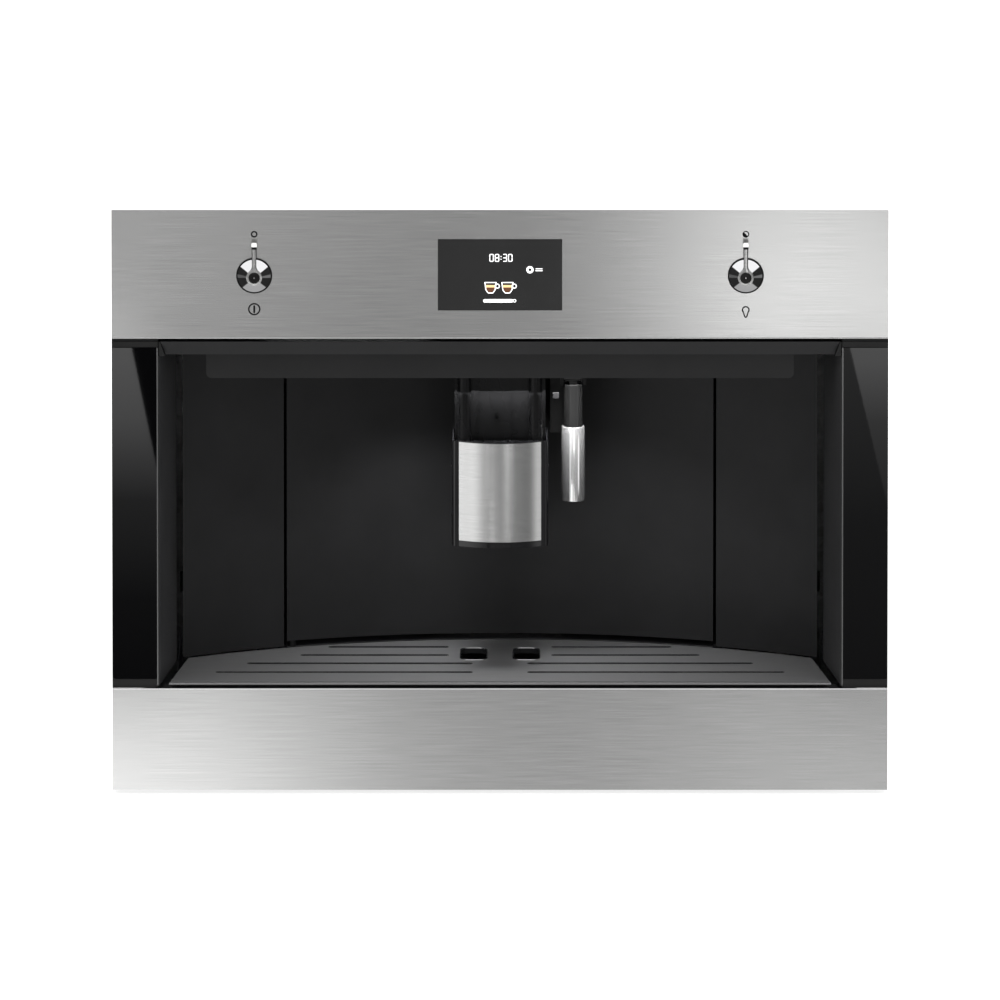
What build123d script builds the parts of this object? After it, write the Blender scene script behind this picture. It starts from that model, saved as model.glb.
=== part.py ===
from build123d import *
import os
from math import cos, radians, sin, sqrt

# Built-in coffee machine for a 45 cm cabinet niche, on telescopic rails.
# Frame: +X to the right of a person facing it, +Y away from that person, +Z up.
# The origin is on the cabinet floor, at the middle of the mounting base's underside.
# Depths in the values below are measured backwards from the front face.

os.makedirs("parts", exist_ok=True)

# ---------------------------------------------------------------- front face
front_width = 597.0          # steel front, side to side
front_height = 455.0         # steel front, bottom to top
front_lift = 3.0             # front's lower edge above the cabinet floor
lower_fascia_height = 79.6
upper_fascia_height = 100.8
shadow_gap = 2.4             # dark joints above and below the niche
fascia_sheet = 1.5           # steel sheet of both fascias
fascia_return = 18.0         # depth of the sheet's folded edges
fascia_bevel = 1.2
glass_width = 35.4           # black glass strip with its trim
glass_thickness = 4.0
trim_width = 0.9             # bright trim on the strip's niche edge
trim_depth = 9.0
corner_block_height = 4.4    # black blocks over the glass strips
foot_block_height = 5.1      # black blocks under the glass strips
block_tab_depth = 2.0        # tabs in the shadow gaps, behind the front face
fit_gap = 0.3                # between panels that meet edge to edge

front_half = front_width / 2
lower_fascia_top = front_lift + lower_fascia_height
niche_bottom = lower_fascia_top + shadow_gap
front_top = front_lift + front_height
upper_fascia_bottom = front_top - upper_fascia_height
niche_top = upper_fascia_bottom - shadow_gap
niche_half = front_half - glass_width
block_bottom = niche_top - corner_block_height
glass_top = block_bottom - fit_gap
trim_bottom = niche_bottom + fit_gap
foot_block_top = niche_bottom + foot_block_height
glass_bottom = foot_block_top + fit_gap

# ---------------------------------------------------------------- niche
niche_depth = 174.0          # front face to the rear wall, on the centre line
wall_radius = 441.0          # rear wall's curve, seen from above
wall_step = 0.7              # side walls' front edges inside the niche's opening
wall_taper = 12.4            # how far each side wall runs in towards the rear wall
wall_return = 12.0           # side wall's straight tail behind the rear panel
wall_sheet = 2.0
wall_set_back = 0.8
rear_panel_reveal = 4.9      # fixed rear panels end this far before the side walls
rear_panel_sheet = 2.5
rear_panel_foot = 2.0        # fixed rear panels start this far above the niche's floor line
seam_gap = 2.3               # dark upright joint beside the service door
lip_drop = 11.0              # height of the bevelled lip over the niche
lip_slant = 5.5              # how far the bevel runs back
lip_depth = 17.5
lip_end_gap = 2.0            # between the lip's upper corners and the niche's opening
lip_end_slant = 3.9          # how far the lip's ends lean inwards
lip_corner_gap = 0.3
ceiling_sheet = 2.0
ceiling_overhang = 2.4
soffit_side_gap = 24.0       # lowered light box to the side walls' rear edges
soffit_drop = 31.8           # niche's upper edge to the light box's underside
soffit_wall = 2.0
soffit_corner = 4.0
lamp_half_length = 34.0
lamp_half_width = 5.0
lamp_spacing = 220.0
lamp_depth = 52.0            # lamps' distance behind the front face
lamp_corner = 2.5
lamp_thickness = 3.0

arc_centre = niche_depth - wall_radius
ceiling_bottom = niche_top - ceiling_sheet
lip_bottom = niche_top - lip_drop
lip_half_top = niche_half - lip_end_gap
lip_half_bottom = lip_half_top - lip_end_slant
wall_front_half = niche_half - wall_step
wall_back_half = wall_front_half - wall_taper
rear_panel_end = wall_back_half - rear_panel_reveal
soffit_half = wall_back_half - soffit_side_gap
soffit_bottom = niche_top - soffit_drop

# ---------------------------------------------------------------- casing
casing_inset = 23.5          # casing's sides inside the front's edges
casing_front = 24.0
casing_rear = 380.0
casing_sheet = 1.5
casing_bottom = 6.0
rail_pocket = 25.0           # casing is narrower by this much on each side beside the rails
rail_shelf_gap = 6.0         # shelf over the rails to the base's flanges
top_drop = 15.0              # front's upper edge to the top cover's front edge
top_slope = 11.5             # degrees that the top cover falls towards the rear
vent_slot_length = 34.0
vent_slot_width = 4.0
vent_slot_pitch = 10.0
vent_slot_count = 12
vent_top_margin = 36.0

# ---------------------------------------------------------------- rails and base
base_sheet = 2.0
base_front = 34.0
base_flange_height = 46.0
base_hole_radius = 2.6
base_hole_spacing_x = 440.0
base_hole_spacing_y = 260.0
base_window_margin = 45.0
base_bar_half = 40.0         # half width of the bar between the base's two windows
rail_sheet = 1.4
rail_front = 42.0
rail_end_gap = 12.0          # rails' rear ends to the casing's rear face
rail_middle_height = 28.0    # level of the rails' middle line
rail_inner_height = 20.0
rail_gap = 0.4               # running gap between two rail members
rail_inner_reach = 6.0

casing_half = front_half - casing_inset
lower_half = casing_half - rail_pocket
rail_shelf = base_flange_height + rail_shelf_gap
rail_back = casing_rear - rail_end_gap
top_front_height = front_top - top_drop

# ---------------------------------------------------------------- control panel
display_width = 94.9
display_height = 55.2
display_drop = 50.7          # front's upper edge to the display's middle
display_glass_sheet = 1.8
display_proud = 0.3
display_module_margin = 3.0
display_module_depth = 13.0
lever_offset = 188.8         # lever shafts left and right of the centre line
lever_drop = 51.3            # front's upper edge to the lever shafts
collar_rim_radius = 13.9      # conical collars round the levers' hubs
collar_rim_height = 1.4
collar_rim_width = 1.0
collar_bore_radius = 5.1
collar_crown_width = 0.6      # flat ring round the collar's bore
collar_proud = 6.9
lever_hub_radius = 4.7
lever_ring_radius = 6.2
lever_plate_front = 10.5     # lever plate's front face before the fascia
lever_plate_thickness = 2.6
lever_reach = 27.2           # shaft axis to the lever's tip
lever_arm_width = 3.0
lever_tip_width = 3.8
lever_tip_height = 3.2
lever_tip_thickness = 1.2
lever_cap_radius = 4.4
lever_cap_depth = 1.4
lever_cap_proud = 0.8
lever_cap_gap = 0.05
lever_shaft_radius = 3.0
lever_shaft_end = 15.0
shaft_play = 0.05            # running clearance round a shaft
shaft_hole_play = 1.0
switch_size = 26.0
switch_depth = 14.0
frame_sheet = 3.0
frame_margin = 2.2           # frame stays this far inside the front's outline
frame_upright_gap = 2.9      # niche's opening to the frame's uprights
frame_tongue = 24.0          # how far the frame's tongues reach up behind the fascia
frame_flange = 2.0
frame_flange_depth = 20.0

display_middle = front_top - display_drop
lever_middle = front_top - lever_drop
frame_upright_inner = niche_half + frame_upright_gap

# ---------------------------------------------------------------- service door
side_panel_width = 85.0      # fixed rear panels and seams beside the door
door_thickness = 6.0
door_foot_gap = 6.0          # door's lower edge above the niche's floor line
door_top_gap = 2.0
hinge_inset = 3.8            # hinge axis from the door's left edge
hinge_pin_radius = 2.0
hinge_collar_radius = 3.4
hinge_pin_length = 9.0
hinge_bore_extra = 1.0
hinge_end_gap = 0.3

door_half = wall_back_half - side_panel_width
door_bottom = niche_bottom + door_foot_gap
door_top = soffit_bottom - door_top_gap

# ---------------------------------------------------------------- coffee spout
carrier_half = 35.0
carrier_front = 77.0
carrier_back = 128.0
carrier_height = 93.0
column_width = 10.8          # rounded columns on both sides of the channel
column_side = 2.2            # flat flank outside each column
channel_depth = 8.0
channel_plate_half = 12.2
channel_plate_shift = -3.8
channel_plate_proud = 1.6
carrier_ring_radius = 2.6
carrier_ring_bore = 1.7
carrier_ring_drop = 41.0     # door's upper edge to the ring mark
spine_half = 20.0
head_hang = 48.4             # head's lower end below the carrier, at rest
head_height = 82.8
head_wall = 1.6
head_floor = 6.0
head_play = 0.4              # between the head and the carrier it slides on
head_corner = 3.0
head_back_rim = 8.0
plate_half = 31.7
plate_bulge = 9.0
plate_sheet = 1.2
plate_foot = 4.6             # plate's lower edge above the head's
plate_head = 0.8             # plate's upper edge below the head's
side_pin_radius = 1.3
side_pin_proud = 0.7
side_pin_rise = 58.0         # head's lower end to the side pins
side_rail_height = 24.0
side_rail_proud = 0.5
nozzle_offset = 22.2
nozzle_depth = 98.0
nozzle_radius = 4.0
nozzle_bore = 2.4
nozzle_proud = 1.6
nozzle_length = 9.0

carrier_bottom = door_top - carrier_height
carrier_ring_height = door_top - carrier_ring_drop
head_bottom = carrier_bottom - head_hang
head_top = head_bottom + head_height
plate_bottom = head_bottom + plate_foot
plate_top = head_top - plate_head
side_pin_height = head_bottom + side_pin_rise

# ---------------------------------------------------------------- steam wand
wand_spacing = 21.5          # spout carrier's side to the wand's middle
wand_depth = 110.0
wand_pivot_drop = 15.0       # light box's underside to the wand's pivot
grip_radius = 7.2
grip_drop = 7.8              # pivot to the grip's upper end
grip_length = 30.5
collar_radius = 7.6
collar_height = 1.9
wand_tube_radius = 4.0
wand_tube_bore = 2.5
wand_tube_recess = 2.5       # tube's end inside the sleeve's lower end
guide_rise = 21.0            # sleeve's lower end to the guide ring on the tube
guide_thickness = 4.0
sleeve_radius = 9.0
sleeve_wall = 1.1
sleeve_length = 58.5
sleeve_floor = 1.6
sleeve_play = 0.1
lug_radius = 6.0
lug_half = 7.0
wand_pin_radius = 2.0
ear_thickness = 2.6
ear_drop = 7.0               # pivot to the ears' lower ends
ear_reach = 9.0              # pivot to the ears' front edges
ear_gap = 0.4
deck_rise = 9.0              # pivot to the underside of the bracket's deck
bracket_plate_reach = 17.7   # wand's middle to the plate's left edge
bracket_plate_width = 15.8
bracket_plate_drop = 48.5    # pivot to the plate's lower edge
bracket_plate_back = 13.0    # pivot to the plate's front face
bracket_light_size = 4.4
bracket_light_proud = 0.8
bracket_tab_reach = 24.5     # wand's middle to the tab's end
bracket_tab_rise = 3.0       # pivot to the tab's underside
bracket_tab_forward = 6.0
bracket_tab_back = 16.0

wand_x = carrier_half + wand_spacing
wand_pivot_height = soffit_bottom - wand_pivot_drop
grip_top = wand_pivot_height - grip_drop
grip_bottom = grip_top - grip_length
collar_bottom = grip_bottom - collar_height
sleeve_top = collar_bottom - fit_gap
sleeve_bottom = sleeve_top - sleeve_length
wand_tube_bottom = sleeve_bottom + wand_tube_recess
guide_height = sleeve_bottom + guide_rise

# ---------------------------------------------------------------- drip drawer
cover_side_gap = 8.1         # cover's front corners inside the niche's opening
cover_taper = 14.0           # how much narrower each side is at the rear
cover_sheet = 1.2
cover_set_back = 3.6         # cover's front edge behind the front face
cover_lip = 6.0              # flat front lip before the crease
cover_crease = 0.5           # depth of the crease
cover_crease_width = 2.0
cover_gap = 2.0              # between the cover and the rear wall
slot_width = 5.0
slot_rows = (0.2655, 0.46, 0.642, 0.822)    # depths as shares of the niche's depth
slot_inner_ends = (21.5, 21.5, 40.0, 40.0)
slot_reaches = (0.859, 0.765, 0.604, 0.52)    # outer ends as shares of the cover's half width
finger_inner = 10.3
finger_width = 20.0
finger_row = 0.536           # front end of the finger openings, share of the niche's depth
finger_share = 0.26        # their length, share of the niche's depth
finger_corner = 7.0
tray_side_gap = 4.0          # tray to the casing between the rails
tray_taper = 8.0
tray_bottom = 9.0
tray_wall = 2.5
tray_floor = 2.5
tray_gap = 6.0               # between the tray and the rear wall's line
skid_inset = 46.0            # tray's side to the middle of its skids
skid_width = 10.0
skid_gap = 0.3

cover_front_half = niche_half - cover_side_gap
cover_back_half = cover_front_half - cover_taper
tray_half = lower_half - tray_side_gap
tray_back_half = tray_half - tray_taper
skid_offset = tray_half - skid_inset

# ---------------------------------------------------------------- inside
bay_side_gap = 5.0           # door's edges to the bay's walls
bay_wall = 2.0
bay_floor = 2.5
bay_floor_drop = 1.0         # bay's floor below the niche's floor line
bay_wall_overlap = 23.0      # bay's walls start this far before the rear wall's middle
bay_top_gap = 3.0
bay_rear_gap = 8.0
sill_reach = 44.0
partition_gap = 8.0          # brew unit to the partitions beside it
partition_height = 113.5
tank_inner_gap = 5.0         # tank and grounds box to the partition and the wall
tank_set_back = 25.0         # rear wall's middle to the tank and the grounds box
tank_rear_gap = 8.0
tank_headroom = 61.5
tank_wall = 2.5
tank_lid_thickness = 5.0
tank_lid_flange = 2.0
grounds_headroom = 27.5      # under the grinder
pull_width = 44.0
pull_depth = 12.0
pull_corner = 4.0
pull_thickness = 3.0
pull_drop = 16.0
brew_half = 48.0
brew_set_back = 29.0         # rear wall's middle to the brew unit
brew_length = 92.0
brew_plate = 5.0
brew_headroom = 25.5
brew_chamber_radius = 28.0
brew_chamber_bore = 22.4
brew_chamber_height = 78.0
piston_radius = 22.3
piston_thickness = 14.0
piston_rest = 56.0           # piston's face above the brew unit's base plate
piston_travel = 40.0
rod_radius = 6.0
rod_top = 18.0
grinder_side_gap = 10.0      # grinder to the bay's wall
grinder_set_back = 9.5       # grinder behind the middle of the bay
grinder_share = 0.24706        # grinder's radius, share of the bay's half width
grinder_height = 82.0
grinder_drop = 22.0          # hopper's floor to the grinder's upper face
burr_well_radius = 27.0
burr_well_depth = 34.0
burr_radius = 20.0
burr_tip_radius = 7.0
burr_height = 26.0
burr_rim_height = 6.5
burr_slot_count = 8
burr_slot_width = 1.0
burr_shaft_radius = 4.0
burr_shaft_length = 22.0
grinder_arm_half = 16.0
grinder_arm_height = 30.0
hopper_size = 120.0
hopper_wall = 2.5
hopper_rise = 2.0            # hopper's floor above the bay's walls
hopper_cover_gap = 0.4
lid_width = 132.0
lid_length = 92.0
lid_thickness = 3.0
lid_opening_margin = 9.0
lid_opening_corner = 12.0
lid_corner = 6.0
lid_rod_radius = 2.2
lid_rod_height = 4.2
lid_rod_length = 56.0
lid_ear_width = 6.0
lid_ear_radius = 4.0
lid_side_gap = 0.4
dial_gap = 38.0              # bean lid's edge to the dial's middle
dial_radius = 15.0
dial_height = 9.0
dial_grip_width = 5.0
dial_grip_height = 6.0
dial_shaft_radius = 3.0
dial_shaft_length = 14.0
pump_side_gap = 14.0
pump_set_back = 49.0
pump_rear_gap = 38.0
pump_radius = 24.0
pump_foot_width = 40.0
pump_foot_height = 9.0
pump_foot_top = 15.0
port_radius = 5.0
port_length = 6.0
hose_radius = 4.0
hose_bore = 2.5
hose_bend = 12.0
boiler_margin = 9.0          # boilers to the bay's wall and to the casing
boiler_set_backs = (22.0, 113.0)    # rear wall's middle to the boilers' middles
boiler_height = 140.0
boiler_foot = 4.0
board_half = 140.0
board_set_back = 45.0
board_rear_gap = 20.0
board_sheet = 2.0
board_lift = 6.0
board_post_radius = 3.0
component_height = 26.0
transformer_width = 70.0
capacitor_count = 3
capacitor_radius = 12.0
capacitor_start = 46.0
capacitor_pitch = 28.0
inlet_side_gap = 70.0        # casing's side to the inlet's middle
inlet_height = 62.0
inlet_width = 50.0
inlet_flange_height = 30.0
inlet_flange = 2.0
inlet_body_width = 30.0
inlet_body_height = 22.0
inlet_body_depth = 20.0
inlet_cavity_width = 24.0
inlet_cavity_height = 16.0
inlet_cavity_depth = 16.0
inlet_pin_pitch = 7.0
inlet_pin_width = 2.0
inlet_pin_height = 6.0
inlet_pin_length = 12.0
screw_head_radius = 3.6
screw_head_height = 2.0
screw_shank_radius = 1.8
screw_hole_play = 0.2
screw_inset = 12.0

bay_half = door_half + bay_side_gap
bay_outer = bay_half + bay_wall
bay_floor_bottom = niche_bottom - bay_floor_drop
bay_floor_top = bay_floor_bottom + bay_floor
bay_wall_front = niche_depth - bay_wall_overlap
bay_top = soffit_bottom - bay_top_gap
bay_rear = casing_rear - bay_rear_gap
partition_offset = brew_half + partition_gap
tank_front = niche_depth + tank_set_back
tank_rear = bay_rear - tank_rear_gap
tank_top = bay_top - tank_headroom
brew_front = niche_depth + brew_set_back
brew_rear = brew_front + brew_length
brew_top = bay_top - brew_headroom
grinder_radius = grinder_share * bay_half
grinder_x = bay_half - grinder_side_gap - grinder_radius
grinder_y = (niche_depth + bay_rear) / 2 + grinder_set_back
hopper_left = grinder_x - hopper_size / 2
hopper_right = grinder_x + hopper_size / 2
hopper_front = grinder_y - hopper_size / 2
hopper_rear = grinder_y + hopper_size / 2
hopper_bottom = bay_top + hopper_rise
grinder_top = hopper_bottom - grinder_drop
grinder_bottom = grinder_top - grinder_height
dial_x = grinder_x + lid_width / 2 + dial_gap
pump_x = pump_radius + pump_side_gap - lower_half
pump_front = niche_depth + pump_set_back
pump_rear = bay_rear - pump_rear_gap
boiler_radius = (lower_half - bay_outer) / 2 - boiler_margin
boiler_x = (lower_half + bay_outer) / 2
board_front = niche_depth + board_set_back
board_rear = bay_rear - board_rear_gap
inlet_x = inlet_side_gap - casing_half

# ---------------------------------------------------------------- worked-out places
origin_depth = (base_front + casing_rear) / 2
front_face = -origin_depth
floor_top = casing_bottom + casing_sheet
inner_rail_x = lower_half + casing_sheet
cover_bottom = niche_bottom
tray_top = cover_bottom
slope = radians(top_slope)
top_plane = Plane(
    origin=(0, front_face + casing_front, top_front_height),
    x_dir=(1, 0, 0),
    z_dir=(0, sin(slope), cos(slope)),
)
top_length = (casing_rear - casing_front) / cos(slope)
hinge_radius = wall_radius + door_thickness / 2
hinge_x = -(door_half - hinge_inset)
hinge_y = arc_centre + sqrt(hinge_radius**2 - hinge_x**2)
plate_radius = (plate_half**2 + plate_bulge**2) / (2 * plate_bulge)
head_half = carrier_half + head_play + head_wall
head_front = carrier_front - head_play - head_wall
head_back = carrier_back + head_play + head_wall
plate_centre = head_front - plate_bulge + plate_radius
reach = 2 * front_width      # longer than anything it has to cut


def level(z):
    """Horizontal sketch plane at the height z; its own Y is the depth behind the front face."""
    return Plane(origin=(0, front_face, z), x_dir=(1, 0, 0), z_dir=(0, 0, 1))


def facing(depth):
    """Sketch plane parallel to the front face, at this depth behind it, looking forwards."""
    return Plane(origin=(0, front_face + depth, 0), x_dir=(1, 0, 0), z_dir=(0, -1, 0))


def crossing(x):
    """Upright sketch plane square to X; its own X is the depth behind the front face."""
    return Plane(origin=(x, front_face, 0), x_dir=(0, 1, 0), z_dir=(1, 0, 0))


def wall_depth(x, extra=0.0):
    """Depth of the rear wall's curve, moved back by extra, at the distance x from the centre line."""
    return arc_centre + sqrt((wall_radius + extra) ** 2 - x**2)


def cover_height(y):
    """Height of the sloping top cover's upper face at the depth y."""
    return top_front_height - (y - casing_front) * sin(slope) / cos(slope)


def block(x0, x1, y0, y1, z0, z1, mode=Mode.ADD):
    """Add or cut a box given by its six faces, inside the part being built."""
    with BuildSketch(level(z0), mode=Mode.PRIVATE) as outline:
        with Locations(((x0 + x1) / 2, (y0 + y1) / 2)):
            Rectangle(x1 - x0, y1 - y0)
    extrude(outline.sketch, amount=z1 - z0, mode=mode)


def pair(x0, x1, y0, y1, z0, z1, mode=Mode.ADD):
    """The same box on the right and, mirrored, on the left."""
    block(x0, x1, y0, y1, z0, z1, mode)
    block(-x1, -x0, y0, y1, z0, z1, mode)


def curved_panel(x0, x1, inner_radius, outer_radius, z0, z1, mode=Mode.ADD):
    """A slice of an upright ring about the rear wall's axis, between two side planes."""
    with BuildSketch(level(z0), mode=Mode.PRIVATE) as outline:
        with Locations((0, arc_centre)):
            Circle(outer_radius)
            Circle(inner_radius, mode=Mode.SUBTRACT)
        with Locations(((x0 + x1) / 2, niche_depth)):
            Rectangle(x1 - x0, 2 * niche_depth, mode=Mode.INTERSECT)
    extrude(outline.sketch, amount=z1 - z0, mode=mode)


def niche_plan(front_y, front_half_width, back_half_width, gap, z0, z1, mode=Mode.ADD):
    """A slab with tapering sides and a curved rear edge, gap before the rear wall's curve."""
    corner = wall_depth(back_half_width, -gap)
    with BuildSketch(level(z0), mode=Mode.PRIVATE) as outline:
        with BuildLine():
            Polyline(
                (-back_half_width, corner),
                (-front_half_width, front_y),
                (front_half_width, front_y),
                (back_half_width, corner),
            )
            ThreePointArc((back_half_width, corner), (0, niche_depth - gap), (-back_half_width, corner))
        make_face()
    extrude(outline.sketch, amount=z1 - z0, mode=mode)


def upright_rod(x, y, radius, z0, z1, mode=Mode.ADD):
    """A round rod along Z."""
    with BuildSketch(level(z0), mode=Mode.PRIVATE) as outline:
        with Locations((x, y)):
            Circle(radius)
    extrude(outline.sketch, amount=z1 - z0, mode=mode)


def depth_rod(x, z, radius, y0, y1, mode=Mode.ADD):
    """A round rod along Y."""
    with BuildSketch(facing(y0), mode=Mode.PRIVATE) as outline:
        with Locations((x, z)):
            Circle(radius)
    extrude(outline.sketch, amount=y0 - y1, mode=mode)


def cross_rod(y, z, radius, x0, x1, mode=Mode.ADD):
    """A round rod along X."""
    with BuildSketch(crossing(x0), mode=Mode.PRIVATE) as outline:
        with Locations((y, z)):
            Circle(radius)
    extrude(outline.sketch, amount=x1 - x0, mode=mode)


# ================================================================ base and rails
with BuildPart() as mounting_base:
    base_half = inner_rail_x + rail_inner_reach + 2 * rail_gap + 2 * rail_sheet + base_sheet
    block(-base_half, base_half, base_front, casing_rear, 0, base_sheet)
    pair(base_half - base_sheet, base_half, base_front, casing_rear, base_sheet, base_flange_height)
    base_window_end = base_hole_spacing_x / 2 - base_window_margin
    base_window_side = base_hole_spacing_y / 2 - base_window_margin
    pair(
        base_bar_half,
        base_window_end,
        origin_depth - base_window_side,
        origin_depth + base_window_side,
        0,
        base_sheet,
        Mode.SUBTRACT,
    )
    with Locations((0, 0, base_sheet)):
        with GridLocations(base_hole_spacing_x, base_hole_spacing_y, 2, 2):
            Hole(base_hole_radius, depth=base_sheet)
mounting_base.part.label = "mounting_base"
export_step(mounting_base.part, "parts/mounting_base.step")


def rail_pair(web_x, web_side, reach_to, height):
    """Left and right rail members: an upright web at web_x with two flanges that reach to reach_to."""
    low = rail_middle_height - height / 2
    high = rail_middle_height + height / 2
    web_0 = min(web_x, web_x + web_side * rail_sheet)
    web_1 = max(web_x, web_x + web_side * rail_sheet)
    flange_0 = min(web_0, reach_to)
    flange_1 = max(web_1, reach_to)
    with BuildPart() as rails:
        pair(web_0, web_1, rail_front, rail_back, low, high)
        pair(flange_0, flange_1, rail_front, rail_back, low, low + rail_sheet)
        pair(flange_0, flange_1, rail_front, rail_back, high - rail_sheet, high)
    return rails


inner_rails = rail_pair(inner_rail_x, 1, inner_rail_x + rail_inner_reach, rail_inner_height)
inner_rails.part.label = "inner_rails"
export_step(inner_rails.part, "parts/inner_rails.step")

middle_web = inner_rail_x + rail_inner_reach + rail_gap
middle_height = rail_inner_height + 2 * rail_gap + 2 * rail_sheet
middle_rails = rail_pair(middle_web, 1, inner_rail_x + rail_sheet + rail_gap, middle_height)
middle_rails.part.label = "middle_rails"
export_step(middle_rails.part, "parts/middle_rails.step")

outer_web = middle_web + rail_sheet + rail_gap
outer_height = middle_height + 2 * rail_gap + 2 * rail_sheet
outer_rails = rail_pair(outer_web, 1, inner_rail_x + rail_sheet + 2 * rail_gap, outer_height)
outer_rails.part.label = "outer_rails"
export_step(outer_rails.part, "parts/outer_rails.step")

# ================================================================ casing
with BuildPart() as chassis_floor:
    block(-lower_half, lower_half, casing_front, casing_rear - casing_sheet, casing_bottom, floor_top)
chassis_floor.part.label = "chassis_floor"
export_step(chassis_floor.part, "parts/chassis_floor.step")


def chassis_side(side):
    """Stepped side sheet: low between the rails, a shelf over them, then the wide upper casing."""
    inner = lower_half
    outer = casing_half
    sheet = casing_sheet
    profile = [
        (inner, casing_bottom),
        (inner + sheet, casing_bottom),
        (inner + sheet, rail_shelf),
        (outer, rail_shelf),
        (outer, top_front_height),
        (outer - sheet, top_front_height),
        (outer - sheet, rail_shelf + sheet),
        (inner, rail_shelf + sheet),
    ]
    with BuildPart() as sheet_part:
        with BuildSketch(facing(casing_front)):
            with BuildLine():
                Polyline(*[(side * x, z) for x, z in profile], close=True)
            make_face()
        extrude(amount=casing_front - casing_rear + casing_sheet)
        with BuildSketch(top_plane.offset(-casing_sheet)):
            with Locations((0, top_length / 2)):
                Rectangle(reach, 2 * top_length)
        extrude(amount=reach, mode=Mode.SUBTRACT)
    return sheet_part


chassis_side_left = chassis_side(-1)
chassis_side_left.part.label = "chassis_side_left"
export_step(chassis_side_left.part, "parts/chassis_side_left.step")

chassis_side_right = chassis_side(1)
chassis_side_right.part.label = "chassis_side_right"
export_step(chassis_side_right.part, "parts/chassis_side_right.step")

rear_top = cover_height(casing_rear) - casing_sheet
screw_places = [
    (side * (casing_half - screw_inset), height)
    for side in (-1, 1)
    for height in (rail_shelf + screw_inset, (rail_shelf + rear_top) / 2, rear_top - screw_inset)
]

with BuildPart() as rear_cover:
    back_face = casing_rear - casing_sheet
    block(-casing_half, casing_half, back_face, casing_rear, rail_shelf, rear_top)
    block(-lower_half, lower_half, back_face, casing_rear, casing_bottom, rail_shelf)
    for row in range(vent_slot_count):
        slot_top = rear_top - vent_top_margin - row * vent_slot_pitch
        pair(
            casing_half / 2 - vent_slot_length,
            casing_half / 2 + vent_slot_length,
            back_face,
            casing_rear,
            slot_top - vent_slot_width,
            slot_top,
            Mode.SUBTRACT,
        )
    for x, z in screw_places:
        depth_rod(x, z, screw_shank_radius + screw_hole_play, back_face, casing_rear, Mode.SUBTRACT)
    block(
        inlet_x - inlet_body_width / 2 - fit_gap,
        inlet_x + inlet_body_width / 2 + fit_gap,
        back_face,
        casing_rear,
        inlet_height - inlet_body_height / 2 - fit_gap,
        inlet_height + inlet_body_height / 2 + fit_gap,
        Mode.SUBTRACT,
    )
rear_cover.part.label = "rear_cover"
export_step(rear_cover.part, "parts/rear_cover.step")

with BuildPart() as casing_screws:
    for x, z in screw_places:
        depth_rod(x, z, screw_head_radius, casing_rear, casing_rear + screw_head_height)
        depth_rod(x, z, screw_shank_radius, casing_rear - casing_sheet, casing_rear)
    for x, z in screw_places:
        notch = screw_head_height / 2
        block(
            x - screw_head_radius,
            x + screw_head_radius,
            casing_rear + notch,
            casing_rear + screw_head_height,
            z - notch / 2,
            z + notch / 2,
            Mode.SUBTRACT,
        )
casing_screws.part.label = "casing_screws"
export_step(casing_screws.part, "parts/casing_screws.step")

# The lid's opening, its hinge and the grind dial share this place on the sloping cover.
lid_place = (grinder_y - casing_front) / cos(slope)
lid_hinge_place = lid_place + lid_length / 2 + lid_ear_radius + lid_side_gap
ear_offset = lid_rod_length / 2 - lid_ear_width / 2
lid_hinge_point = top_plane.from_local_coords((grinder_x, lid_hinge_place, lid_rod_height))

with BuildPart() as top_cover:
    with BuildSketch(top_plane):
        with Locations((0, top_length / 2)):
            Rectangle(2 * casing_half, top_length)
    extrude(amount=-casing_sheet)
    with BuildSketch(top_plane):
        with Locations((grinder_x, lid_place)):
            RectangleRounded(
                lid_width - 2 * lid_opening_margin,
                lid_length - 2 * lid_opening_margin,
                lid_opening_corner,
            )
        with Locations((dial_x, lid_place)):
            Circle(dial_shaft_radius + shaft_play)
        with Locations((-grinder_x, lid_place)):
            with GridLocations(vent_slot_pitch, 1, vent_slot_count, 1):
                Rectangle(vent_slot_width, 2 * vent_slot_length)
    extrude(amount=-casing_sheet, mode=Mode.SUBTRACT)
    for side in (-1, 1):
        ear_x = grinder_x + side * ear_offset
        ear_middle = top_plane.from_local_coords((ear_x, lid_hinge_place, lid_rod_height))
        ear_down = (0, -sin(slope), -cos(slope))
        with BuildSketch(Plane(ear_middle, x_dir=ear_down, z_dir=(1, 0, 0))):
            Circle(lid_ear_radius)
            with Locations((lid_rod_height / 2, 0)):
                Rectangle(lid_rod_height, 2 * lid_ear_radius)
        extrude(amount=lid_ear_width / 2, both=True)
    with BuildSketch(Plane(lid_hinge_point, x_dir=(0, 1, 0), z_dir=(1, 0, 0))):
        Circle(lid_rod_radius + shaft_play)
    extrude(amount=lid_rod_length, both=True, mode=Mode.SUBTRACT)
top_cover.part.label = "top_cover"
export_step(top_cover.part, "parts/top_cover.step")

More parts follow.
